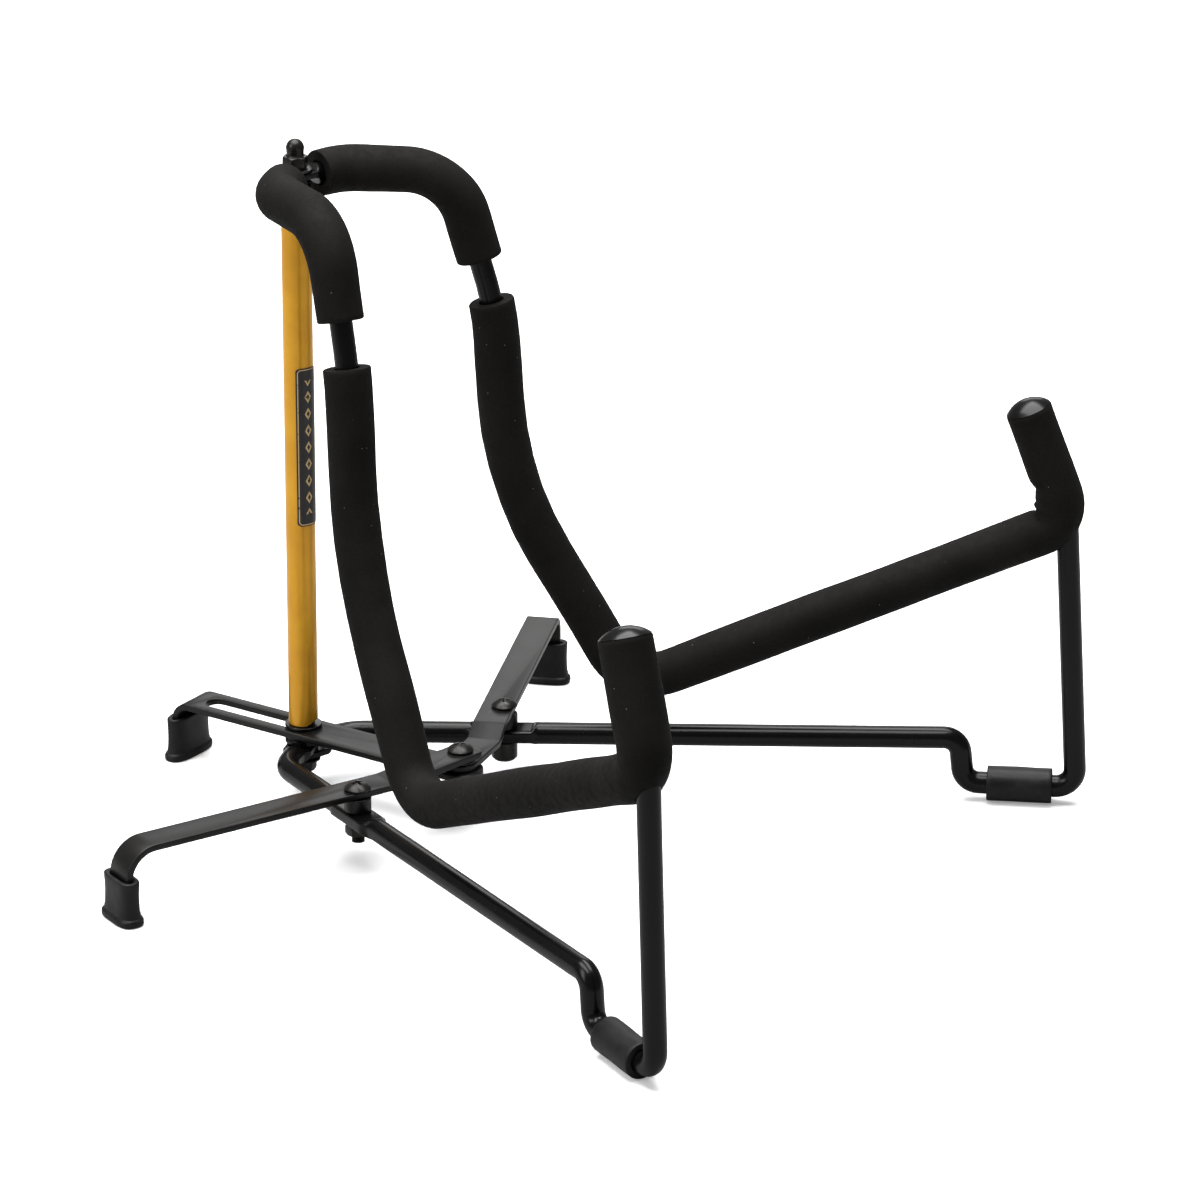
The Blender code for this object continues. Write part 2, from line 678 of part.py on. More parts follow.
def add_foam(shop, side, name, axis):
    """Add the two foam sleeves of a cradle rod, the long one with a slit for the front rod."""
    path = cradle_path(side)
    total = path_lengths(path)[-1]
    start = TAB_WIDTH / 2 + FOAM_START
    gap_top = length_at_height(path, FOAM_GAP_TOP)
    gap_foot = length_at_height(path, FOAM_GAP_FOOT)
    spans = {"upper": (start, gap_top), "long": (gap_foot, total)}
    for label, (first, last) in spans.items():
        shell = tube_mesh(cut_path(path, first, last), FOAM_RADIUS, caps=False)
        foam = shop.part(f"{name}_{label}_foam", shell, "black_foam", axis)
        wall = foam.modifiers.new("wall", "SOLIDIFY")
        wall.thickness = FOAM_RADIUS - FOAM_BORE
        wall.offset = -1.0
        wall.use_even_offset = False
        if label == "long":
            heights = (FRONT_ROD_TOP - SLIT_DEPTH, FRONT_ROD_TOP + GAP)
            slit = [frame_place(side, front_rod_reach(height), height) for height in heights]
            shop.boolean(foam, tube_mesh(slit, ROD_RADIUS + GAP), "DIFFERENCE")


def add_hook_cap(shop, side, name, axis):
    """Add the domed cap in the tip of a hook."""
    path = cradle_path(side)
    along = (path[-1] - path[-2]).normalized()
    rim = FOAM_RADIUS - GAP
    stem = CAP_STEM_RADIUS
    profile = [(0.0, GAP + CAP_RIM + CAP_DOME)]
    profile += [
        (rim * math.sin(math.radians(angle)), GAP + CAP_RIM + CAP_DOME * math.cos(math.radians(angle)))
        for angle in (20, 40, 60, 78, 90)
    ]
    profile += [(rim, GAP), (stem, GAP), (stem, GAP - CAP_STEM), (0.0, GAP - CAP_STEM)]
    cap = turned_part(shop, f"{name}_hook_cap", profile, (0, 0), "black_plastic", axis)
    cap.location = path[-1] - world_place(axis)
    cap.rotation_mode = "QUATERNION"
    cap.rotation_quaternion = along.to_track_quat("Z", "Y")


def pivot_place(side):
    """Return the place of a brace pivot, at floor height."""
    return frame_place(side, PIVOT_REACH, 0)


def leg_run_height(reach):
    """Return the height of the middle of a leg rod along its run."""
    share = (reach - ELBOW_REACH) / (RISER_TOP - ELBOW_REACH)
    return LEG_RUN_REAR_Z + (LEG_RUN_FRONT_Z - LEG_RUN_REAR_Z) * share


def screw_part(shop, name, place, seat, foot, radius, axis):
    """Add a round-headed screw with a cross recess; seat is the height of the underside of its head."""
    head = [(0.0, seat + SCREW_HEAD_HEIGHT)]
    head += [
        (SCREW_HEAD_RADIUS * math.sin(math.radians(angle)), seat + 0.0006
         + (SCREW_HEAD_HEIGHT - 0.0006) * math.cos(math.radians(angle)))
        for angle in (20, 40, 60, 75, 90)
    ]
    profile = head + [(SCREW_HEAD_RADIUS, seat), (radius, seat), (radius, foot), (0.0, foot)]
    screw = turned_part(shop, name, profile, place, "black_oxide_steel", axis)
    for size in ((RECESS_LENGTH, RECESS_WIDTH), (RECESS_WIDTH, RECESS_LENGTH)):
        top = seat + SCREW_HEAD_HEIGHT
        slot = box_mesh((place[0], place[1], top), (*size, 2 * RECESS_DEPTH))
        shop.boolean(screw, slot, "DIFFERENCE")


def add_pivot(shop, side, name, axis):
    """Add the screw that a brace turns on, its spacer and its nut."""
    place = pivot_place(side)
    run = leg_run_height(PIVOT_REACH)
    seat = BRACE_TOP + GAP
    paddle_top, paddle_foot = run + PADDLE_THICK / 2, run - PADDLE_THICK / 2
    spacer = ring_profile(SCREW_RADIUS + GAP, SPACER_RADIUS, paddle_top + GAP, BRACE_TOP - BAR_THICK - GAP)
    turned_part(shop, f"{name}_pivot_spacer", spacer, place, "black_satin_coat", axis)
    nut_top = paddle_foot - GAP
    if side == LEFT:
        nut = cylinder_mesh(place, NUT_ACROSS / math.sqrt(3), nut_top - NUT_HEIGHT, nut_top, 6)
        foot = nut_top - NUT_HEIGHT - 0.0035
        bore_foot = nut_top - NUT_HEIGHT - GAP
    else:
        nut = cylinder_mesh(place, BARREL_RADIUS, nut_top - BARREL_HEIGHT, nut_top)
        foot = nut_top - BARREL_HEIGHT + 0.002
        bore_foot = foot - GAP
    nut_part = shop.part(f"{name}_pivot_nut", nut, "black_oxide_steel", axis)
    shop.boolean(nut_part, cylinder_mesh(place, SCREW_RADIUS + GAP, bore_foot, nut_top + GAP), "DIFFERENCE")
    screw_part(shop, f"{name}_pivot_screw", place, seat, foot, SCREW_RADIUS, axis)


def stroke_outline(corners, half, corner_radius):
    """Return the plan outline of a bar along a path: a start with round corners, even sides, a square end."""
    sides = {1: [], -1: []}
    for sign, found in sides.items():
        for index, corner in enumerate(corners):
            before = corners[max(index - 1, 0)]
            after = corners[min(index + 1, len(corners) - 1)]
            inward = (corner - before).normalized() if index else (after - corner).normalized()
            outward = (after - corner).normalized() if index < len(corners) - 1 else inward
            normal = Vector((-(inward + outward).y, (inward + outward).x)).normalized()
            spread = half / normal.dot(Vector((-inward.y, inward.x)))
            found.append(corner + normal * spread * sign)
    along = (corners[1] - corners[0]).normalized()
    heading = math.atan2(along.y, along.x)
    forward = along * (half - corner_radius)
    sideways = Vector((-along.y, along.x)) * (half - corner_radius)
    quarter = math.pi / 2
    nose = arc_points(corners[0] - forward + sideways, corner_radius, heading + quarter, heading + 2 * quarter)
    nose += arc_points(corners[0] - forward - sideways, corner_radius, heading + 2 * quarter, heading + 3 * quarter)
    return nose + sides[-1][1:] + sides[1][:0:-1]


def bar_profile(stops, tip, toe_radius, foot):
    """Return a bar's side outline: stops are (distance, top height), then a bend down to its toe."""
    half = BAR_THICK / 2
    line = [Vector((distance, 0, top - half)) for distance, top in stops]
    level = line[-1].z
    corners = [(line[0], 0)]
    corners += [(point, BAR_THICK * 1.5) for point in line[1:]]
    corners += [(Vector((tip, 0, level)), toe_radius), (Vector((tip, 0, foot)), 0)]
    middle = rounded_path(corners)
    upper, lower = [], []
    for index, point in enumerate(middle):
        before = middle[max(index - 1, 0)]
        after = middle[min(index + 1, len(middle) - 1)]
        along = (after - before).normalized()
        normal = Vector((-along.z, 0, along.x)) * half
        upper.append((point + normal).xz)
        lower.append((point - normal).xz)
    return upper + lower[::-1]


def bar_part(shop, name, corners, holes, stops, tip, toe_radius, width, nose_radius, axis):
    """Add a flat bar: its side outline pushed sideways, kept inside its plan outline with its holes."""
    along = (corners[-1] - corners[-2]).normalized()
    turn = Matrix.Rotation(math.atan2(along.y, along.x), 4, "Z")
    start = Matrix.Translation((*(corners[-1] - along * tip), 0))
    upright = Matrix.Rotation(math.pi / 2, 4, "X")
    profile = bar_profile(stops, tip, toe_radius, TOE_FOOT)
    reach = width * 3
    side_mesh = plate_mesh([profile], reach, start @ turn @ upright)
    bar = shop.part(name, side_mesh, "black_satin_coat", axis)
    end = corners[-1] + along * BAR_THICK * 2
    outline = stroke_outline([*corners[:-1], end], width / 2, nose_radius)
    plan = plate_mesh([outline], BRACE_TOP * 2.4, Matrix.Translation((0, 0, BRACE_TOP)))
    shop.boolean(bar, plan, "INTERSECT")
    for hole in holes:
        cutter = plate_mesh([hole], BRACE_TOP * 2.2, Matrix.Translation((0, 0, BRACE_TOP)))
        shop.boolean(bar, cutter, "DIFFERENCE")
    return bar


def boot_part(shop, name, place, heading, width, axis):
    """Add a rubber boot around the toe of a bar: a rounded block with a flared foot and an open socket."""
    half_long = width / 2 + BOOT_SOCKET_EXTRA + BOOT_WALL
    half_short = BAR_THICK / 2 + BOOT_SOCKET_EXTRA + BOOT_WALL
    mesh = bpy.data.meshes.new(name)
    work = bmesh.new()
    floor = TOE_FOOT - GAP
    levels = [
        (0.0, BOOT_FLARE * 0.7),
        (0.0008, BOOT_FLARE),
        (BOOT_FLANGE * 0.75, BOOT_FLARE * 0.9),
        (BOOT_FLANGE, 0.0004),
        (BOOT_HEIGHT * 0.55, 0.0),
        (BOOT_HEIGHT - 0.0005, -0.0004),
        (BOOT_HEIGHT, -0.0010),
        (BOOT_HEIGHT, -BOOT_WALL),
        (floor, -BOOT_WALL),
    ]
    across = Vector((-math.sin(heading), math.cos(heading), 0))
    along = Vector((math.cos(heading), math.sin(heading), 0))
    rings = []
    sides = 20
    for height, grow in levels:
        ring = []
        for step in range(sides):
            angle = 2 * math.pi * step / sides
            long = math.copysign(abs(math.cos(angle)) ** 0.55, math.cos(angle)) * (half_long + grow)
            short = math.copysign(abs(math.sin(angle)) ** 0.75, math.sin(angle)) * (half_short + grow)
            ring.append(work.verts.new(Vector((*place, height)) + across * long + along * short))
        rings.append(ring)
    for one, two in zip(rings, rings[1:]):
        for step in range(sides):
            following = (step + 1) % sides
            work.faces.new((one[step], one[following], two[following], two[step]))
    work.faces.new(rings[0][::-1])
    work.faces.new(rings[-1])
    bmesh.ops.recalc_face_normals(work, faces=work.faces)
    work.to_mesh(mesh)
    work.free()
    shop.part(name, mesh, "black_rubber", axis)


def brace_corners(side):
    """Return the plan path of a brace bar from the cross pivot to its toe."""
    points = [(0, CROSS_REACH), BRACE_KINK, BRACE_TIP]
    return [Vector((side * x, -y)) for x, y in points]


def brace_stops(side, reach):
    """Return the side outline of a brace bar: its height at the cross pivot and past its step."""
    slide_top = SLIDE_TOP + GAP
    lower = slide_top + BAR_THICK
    upper = lower + WASHER_THICK + 2 * GAP + BAR_THICK
    near, step = (upper, LEFT_STEP_START) if side == LEFT else (lower, RIGHT_STEP_START)
    return [(-BRACE_WIDTH, near), (step, near), (step + STEP_LENGTH, BRACE_TOP), (reach - 0.03, BRACE_TOP)]


def add_brace(shop, side, frame_axis):
    """Add one brace bar and its boot, on an empty at its pivot with the frame."""
    name = SIDE_NAMES[side]
    pivot = pivot_place(side)
    axis = shop.empty(f"{name}_brace_axis", pivot, frame_axis)
    corners = brace_corners(side)
    along = (corners[2] - corners[1]).normalized()
    reach = (corners[2] - corners[0]).dot(along)
    heading = math.atan2(along.y, along.x)
    cross = Vector((0, -CROSS_REACH))
    if side == LEFT:
        cross_hole = round_slot(cross, 0.0, CROSS_SCREW_RADIUS + GAP)
    else:
        middle = cross + Vector(CROSS_SLOT_MIDDLE)
        cross_hole = round_slot(middle, CROSS_SLOT_HALF, CROSS_SLOT_RADIUS, CROSS_SLOT_HEADING)
    holes = [round_slot(pivot.xy, 0.0, PIVOT_HOLE), cross_hole]
    toe_radius = LEFT_TOE_RADIUS if side == LEFT else RIGHT_TOE_RADIUS
    nose_radius = LEFT_NOSE_RADIUS if side == LEFT else BRACE_WIDTH / 2 - ROUND_NOSE_FLAT
    stops = brace_stops(side, reach)
    bar_part(shop, f"{name}_brace_bar", corners, holes, stops, reach, toe_radius, BRACE_WIDTH, nose_radius, axis)
    boot_part(shop, f"{name}_rear_boot", corners[2], heading, BRACE_WIDTH, axis)
    return axis


def add_cross_pivot(shop, axis):
    """Add the screw, washer and nut where the three bars cross."""
    place = (0.0, -CROSS_REACH)
    lower = SLIDE_TOP + GAP + BAR_THICK
    seat = lower + WASHER_THICK + 2 * GAP + BAR_THICK + GAP
    washer = ring_profile(CROSS_SCREW_RADIUS + GAP, BRACE_WIDTH / 2 - GAP, lower + GAP, lower + GAP + WASHER_THICK)
    turned_part(shop, "cross_washer", washer, place, "black_oxide_steel", axis)
    nut_top = SLIDE_TOP - BAR_THICK - GAP
    screw_part(shop, "cross_screw", place, seat, nut_top - NUT_HEIGHT - 0.002, CROSS_SCREW_RADIUS, axis)
    nut = cylinder_mesh(place, NUT_ACROSS / math.sqrt(3), nut_top - NUT_HEIGHT, nut_top, 6)
    part = shop.part("cross_nut", nut, "black_oxide_steel", axis)
    hole = cylinder_mesh(place, CROSS_SCREW_RADIUS + GAP, nut_top - NUT_HEIGHT - GAP, nut_top + GAP)
    shop.boolean(part, hole, "DIFFERENCE")


def add_slide(shop, brace_axis):
    """Add the slotted centre bar and its boot, on an empty at the cross pivot."""
    cross = Vector((0, -CROSS_REACH))
    axis = shop.empty("slide_axis", Vector((*cross, 0)), brace_axis)
    tip = Vector((0, SLIDE_TIP))
    slot_middle = (SLOT_REAR - SLOT_FRONT) / 2
    slot_half = (SLOT_REAR + SLOT_FRONT - SLOT_WIDTH) / 2
    slot = round_slot((0, slot_middle), slot_half, SLOT_WIDTH / 2, math.pi / 2)
    holes = [slot, round_slot(cross, 0.0, CROSS_SCREW_RADIUS + GAP)]
    reach = (tip - cross).length
    stops = [(-SLIDE_WIDTH, SLIDE_TOP), (reach - 0.02, SLIDE_TOP)]
    nose_radius = SLIDE_WIDTH / 2 - ROUND_NOSE_FLAT
    bar_part(shop, "slide_bar", [cross, tip], holes, stops, reach, SLIDE_TOE_RADIUS, SLIDE_WIDTH, nose_radius, axis)
    boot_part(shop, "centre_rear_boot", tip, math.pi / 2, SLIDE_WIDTH, axis)


def centre_on_origin(shop):
    """Move the root so that the middle of the stand's outline is over the origin."""
    bpy.context.view_layer.update()
    graph = bpy.context.evaluated_depsgraph_get()
    low, high = Vector((math.inf,) * 3), Vector((-math.inf,) * 3)
    for item in shop.parts.objects:
        if item.type != "MESH":
            continue
        evaluated = item.evaluated_get(graph)
        for vertex in evaluated.data.vertices:
            place = evaluated.matrix_world @ vertex.co
            low = Vector(map(min, low, place))
            high = Vector(map(max, high, place))
    middle = (low + high) / 2
    shop.root.location = (-middle.x, -middle.y, -low.z)
    bpy.context.view_layer.update()


def main():
    clear_scene()
    shop = Shop()
    add_post(shop)
    left = add_frame(shop, LEFT)
    right = add_frame(shop, RIGHT)
    left_brace = add_brace(shop, LEFT, left)
    add_brace(shop, RIGHT, right)
    add_cross_pivot(shop, left_brace)
    add_slide(shop, left_brace)
    centre_on_origin(shop)


main()
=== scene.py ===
"""Looks of a folding guitar stand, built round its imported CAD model.

Metres, +Z up, the open side of the cradle faces -Y. Every visible piece is made here finer than the CAD
solid that it stands for, from the same sizes, and rides on the body that carries that solid.
"""

from __future__ import annotations

import logging
import math
from collections.abc import Callable, Iterable, Sequence
from dataclasses import dataclass, field
from enum import Enum

import bmesh
import bpy
from mathutils import Matrix, Vector, noise


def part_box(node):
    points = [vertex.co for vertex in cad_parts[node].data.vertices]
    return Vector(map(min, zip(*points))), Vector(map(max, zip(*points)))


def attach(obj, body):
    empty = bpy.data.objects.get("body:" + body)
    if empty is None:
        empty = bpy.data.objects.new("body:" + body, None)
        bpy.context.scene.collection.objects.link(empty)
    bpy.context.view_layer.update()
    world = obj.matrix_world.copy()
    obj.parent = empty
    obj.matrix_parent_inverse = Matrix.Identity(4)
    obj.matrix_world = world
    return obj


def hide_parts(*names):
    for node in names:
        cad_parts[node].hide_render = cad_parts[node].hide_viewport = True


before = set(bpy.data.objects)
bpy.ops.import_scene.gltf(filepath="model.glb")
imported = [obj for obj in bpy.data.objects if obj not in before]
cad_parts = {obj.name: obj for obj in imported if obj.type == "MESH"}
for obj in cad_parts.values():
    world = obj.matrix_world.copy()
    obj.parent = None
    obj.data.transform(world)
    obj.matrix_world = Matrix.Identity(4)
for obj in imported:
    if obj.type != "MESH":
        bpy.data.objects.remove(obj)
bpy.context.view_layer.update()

LOG = logging.getLogger("stand")
UP = Vector((0.0, 0.0, 1.0))
HAIR = 1e-6  # nothing modelled is smaller than this
GAP = 0.0003  # clearance between pieces that touch
ARC_STEP = math.radians(6.0)
PROFILE_STEP = math.radians(20.0)  # largest turn in the rounded corner of a turned piece
ROUND_SIDES = 48
LABEL_MAP = "label"
LABEL_UNIT = 10.0  # the label's flat coordinates count tenths of a metre

Triple = tuple[float, float, float]
Colour = Triple
Profile = list[tuple[float, float]]
Corner = tuple[Vector, float]
Ring = list[Vector]
Section = Callable[[float], tuple[float, float, float, float]]


# ---------------------------------------------------------------- shader expressions


class Wire:
    """One output of a node, which takes part in arithmetic by adding Math nodes."""

    def __init__(self, graph: Graph, socket: bpy.types.NodeSocket) -> None:
        """Hold a socket and the graph that it belongs to."""
        self.graph = graph
        self.socket = socket

    def _math(self, operation: str, *values: Wire | float) -> Wire:
        """Return the result of a Math node.

        Args:
            operation: Name of the node's operation.
            values: Its inputs, in order.

        Returns:
            The node's output.
        """
        return self.graph.node("ShaderNodeMath", {"operation": operation}, dict(enumerate(values)))

    def __add__(self, other: Wire | float) -> Wire:
        """Return the sum."""
        return self._math("ADD", self, other)

    __radd__ = __add__

    def __sub__(self, other: Wire | float) -> Wire:
        """Return the difference."""
        return self._math("SUBTRACT", self, other)

    def __rsub__(self, other: Wire | float) -> Wire:
        """Return the difference, reflected."""
        return self._math("SUBTRACT", other, self)

    def __mul__(self, other: Wire | float) -> Wire:
        """Return the product."""
        return self._math("MULTIPLY", self, other)

    __rmul__ = __mul__

    def __truediv__(self, other: Wire | float) -> Wire:
        """Return the quotient."""
        return self._math("DIVIDE", self, other)

    def __abs__(self) -> Wire:
        """Return the size without its sign."""
        return self._math("ABSOLUTE", self)

    def __lt__(self, other: Wire | float) -> Wire:
        """Return 1 where this is the smaller."""
        return self._math("LESS_THAN", self, other)

    def __gt__(self, other: Wire | float) -> Wire:
        """Return 1 where this is the larger."""
        return self._math("GREATER_THAN", self, other)

    def larger(self, other: Wire | float) -> Wire:
        """Return the larger of the two."""
        return self._math("MAXIMUM", self, other)

    def smaller(self, other: Wire | float) -> Wire:
        """Return the smaller of the two."""
        return self._math("MINIMUM", self, other)

    def root(self) -> Wire:
        """Return the square root."""
        return self._math("SQRT", self)

    def ramp(self, low: float, high: float) -> Wire:
        """Return a smooth step from 0 at low to 1 at high.

        Args:
            low: Value that gives 0.
            high: Value that gives 1.

        Returns:
            The eased step.
        """
        settings = {"interpolation_type": "SMOOTHSTEP"}
        inputs = {"Value": self, "From Min": low, "From Max": high}
        return self.graph.node("ShaderNodeMapRange", settings, inputs)

    def wrapped(self, pitch: float) -> Wire:
        """Return the distance to the middle of the nearest repeat."""
        return self._math("WRAP", self, pitch / 2, -pitch / 2)


class Graph:
    """The node tree of one material."""

    def __init__(self, name: str) -> None:
        """Make a material with a Principled shader and nothing else.

        Args:
            name: The material's name.
        """
        self.material = bpy.data.materials.new(name)
        self.material.use_nodes = True
        self.tree = self.material.node_tree
        self.shader = self.tree.nodes["Principled BSDF"]
        self.place = self.node("ShaderNodeTexCoord", {}, {}, "Object")

    def node(
        self, kind: str, settings: dict[str, object], inputs: dict[str | int, object], output: str | int = 0
    ) -> Wire:
        """Add a node.

        Args:
            kind: The node's type.
            settings: Properties of the node, which are set first.
            inputs: Values or wires for its sockets, by name or number.
            output: Which output to return.

        Returns:
            That output.
        """
        made = self.tree.nodes.new(kind)
        for name, value in settings.items():
            setattr(made, name, value)
        for name, value in inputs.items():
            self.feed(made.inputs[name], value)
        return Wire(self, made.outputs[output])

    def feed(self, socket: bpy.types.NodeSocket, value: object) -> None:
        """Link a wire to a socket, or set its value.

        Args:
            socket: The socket.
            value: A wire, a number or a colour.
        """
        if isinstance(value, Wire):
            self.tree.links.new(value.socket, socket)
        elif socket.type == "RGBA":
            socket.default_value = (*value, 1.0)
        else:
            socket.default_value = value

    def noise(self, scale: float, detail: float = 3.0, stretch: Triple = (1, 1, 1)) -> Wire:
        """Return fractal noise on the piece's own coordinates.

        Args:
            scale: Features per metre.
            detail: How many octaves there are.
            stretch: Scale of each axis.

        Returns:
            The noise, about 0.5 in the middle.
        """
        place = self.node("ShaderNodeMapping", {}, {"Vector": self.place, "Scale": stretch}, "Vector")
        inputs = {"Vector": place, "Scale": scale, "Detail": detail}
        return self.node("ShaderNodeTexNoise", {}, inputs, "Fac")

    def cells(self, scale: float) -> Wire:
        """Return the distance to the nearest point of a scatter, in cells."""
        inputs = {"Vector": self.place, "Scale": scale}
        return self.node("ShaderNodeTexVoronoi", {"feature": "F1"}, inputs, "Distance")

    def mix(self, factor: Wire | float, one: object, two: object) -> Wire:
        """Return a mix of two colours; a Mix node keeps its colour sockets behind those of other types."""
        return self.node("ShaderNodeMix", {"data_type": "RGBA"}, {0: factor, 6: one, 7: two}, 2)

    def bump(self, height: Wire, strength: float, distance: float) -> None:
        """Drive the shader's normal from a height."""
        inputs = {"Height": height, "Strength": strength, "Distance": distance}
        self.surface(Normal=self.node("ShaderNodeBump", {}, inputs, "Normal"))

    def surface(self, **sockets: object) -> None:
        """Set or link sockets of the shader, with underscores for spaces."""
        for name, value in sockets.items():
            self.feed(self.shader.inputs[name.replace("_", " ")], value)


class Finish(Enum):
    """The finishes, each named after its material slot."""

    GOLD = "gold_powder_coat"
    ENAMEL = "black_gloss_enamel"
    SATIN = "black_satin_coat"
    OXIDE = "black_oxide_steel"
    FOAM = "black_foam"
    RUBBER = "black_rubber"
    PLASTIC = "black_plastic"
    BADGE = "dark_badge"


@dataclass(frozen=True)
class Coat:
    """Paint on metal: a faint orange peel, cloudy gloss and fine rubbed marks."""

    colour: Colour
    deep: Colour
    roughness: float
    peel: float = 0.05
    peel_scale: float = 1400.0
    coat: float = 0.0
    metallic: float = 0.0
    rub: float = 0.12
    dust: float = 0.02
    dust_colour: Colour = (0.45, 0.43, 0.40)
    specular: float = 0.5

    def build(self, name: str) -> Graph:
        """Return the graph of this finish.

        Args:
            name: The material's name.

        Returns:
            The graph, with its shader fed.
        """
        graph = Graph(name)
        cloud = graph.noise(45.0, 4.0)
        streak = graph.noise(700.0, 2.0, (1.0, 1.0, 0.06)).ramp(0.60, 0.80)
        patch = graph.noise(90.0, 3.0).ramp(0.50, 0.72)
        rubbed = streak * patch
        specks = (0.06 - graph.cells(260.0)).ramp(0.0, 0.03)
        tint = graph.mix(cloud.ramp(0.3, 0.7), self.deep, self.colour)
        dusty = graph.mix(specks * self.dust, tint, self.dust_colour)
        gloss = self.roughness + (cloud - 0.5) * 0.10 + rubbed * self.rub + specks * 0.2
        graph.surface(Base_Color=dusty, Roughness=gloss, Metallic=self.metallic, Coat_Weight=self.coat)
        graph.surface(Coat_Roughness=0.10, Specular_IOR_Level=self.specular)
        graph.bump(graph.noise(self.peel_scale, 2.0) - rubbed * 0.3, self.peel, 0.0004)
        return graph


@dataclass(frozen=True)
class Oxide:
    """Blackened steel hardware: dark metal with a grain and brighter rubbed spots."""

    colour: Colour = (0.014, 0.013, 0.0125)
    bright: Colour = (0.075, 0.068, 0.062)
    metallic: float = 0.5
    roughness: float = 0.30
    specular: float = 0.35

    def build(self, name: str) -> Graph:
        """Return the graph of this finish.

        Args:
            name: The material's name.

        Returns:
            The graph, with its shader fed.
        """
        graph = Graph(name)
        grain = graph.noise(2600.0, 3.0)
        worn = graph.noise(420.0, 4.0).ramp(0.58, 0.78)
        graph.surface(Base_Color=graph.mix(worn * 0.6, self.colour, self.bright), Metallic=self.metallic)
        gloss = self.roughness + (grain - 0.5) * 0.18 - worn * 0.08
        graph.surface(Roughness=gloss, Specular_IOR_Level=self.specular)
        graph.bump(grain, 0.12, 0.0003)
        return graph


@dataclass(frozen=True)
class FoamSkin:
    """Closed-cell foam: matte, with fine pores whose pits carry painted shade, soft dents, a lighter bloom
    and a few light specks.
    """

    colour: Colour = (0.0045, 0.0040, 0.0037)
    bloom: Colour = (0.0105, 0.0092, 0.0083)
    # painted shade: this darker colour goes in the middle of each pore, standing in for the shade inside its
    # pit
    pore_shade: Colour = (0.0022, 0.0020, 0.0019)
    speck: Colour = (0.35, 0.34, 0.32)
    pore_shade_scale: float = 2400.0
    dent_scale: float = 260.0

    def build(self, name: str) -> Graph:
        """Return the graph of this finish.

        Args:
            name: The material's name.

        Returns:
            The graph, with its shader fed.
        """
        graph = Graph(name)
        cloud = graph.noise(38.0, 5.0).ramp(0.30, 0.72)
        mottle = graph.noise(310.0, 4.0).ramp(0.35, 0.75)
        pores = graph.cells(self.pore_shade_scale).ramp(0.10, 0.55)
        dents = graph.noise(self.dent_scale, 5.0)
        specks = (0.045 - graph.cells(150.0)).ramp(0.0, 0.02)
        body = graph.mix(cloud * 0.65 + mottle * 0.35, self.colour, self.bloom)
        # painted shade: each pore's middle is darkened towards the pore colour, as shade in the pit
        shaded_foam = graph.mix(pores, self.pore_shade, body)
        graph.surface(Base_Color=graph.mix(specks * 0.35, shaded_foam, self.speck))
        graph.surface(Roughness=0.80 + (mottle - 0.5) * 0.16, Specular_IOR_Level=0.10)
        graph.bump(pores * 0.4 + dents * 0.8, 0.22, 0.0005)
        return graph


@dataclass(frozen=True)
class Rubber:
    """Moulded rubber: dull, a little dusty, with a fine moulded grain."""

    colour: Colour = (0.0040, 0.0040, 0.0042)
    dusty: Colour = (0.0130, 0.0125, 0.0125)
    speck: Colour = (0.30, 0.29, 0.28)
    roughness: float = 0.42
    specular: float = 0.22

    def build(self, name: str) -> Graph:
        """Return the graph of this finish.

        Args:
            name: The material's name.

        Returns:
            The graph, with its shader fed.
        """
        graph = Graph(name)
        cloud = graph.noise(120.0, 4.0).ramp(0.42, 0.75)
        grain = graph.noise(1900.0, 3.0)
        specks = (0.07 - graph.cells(330.0)).ramp(0.0, 0.03)
        tint = graph.mix(cloud * 0.7, self.colour, self.dusty)
        graph.surface(Base_Color=graph.mix(specks * 0.12, tint, self.speck))
        gloss = self.roughness + cloud * 0.14 + (grain - 0.5) * 0.10
        graph.surface(Roughness=gloss, Specular_IOR_Level=self.specular)
        graph.bump(grain + cloud * 0.5, 0.16, 0.0004)
        return graph


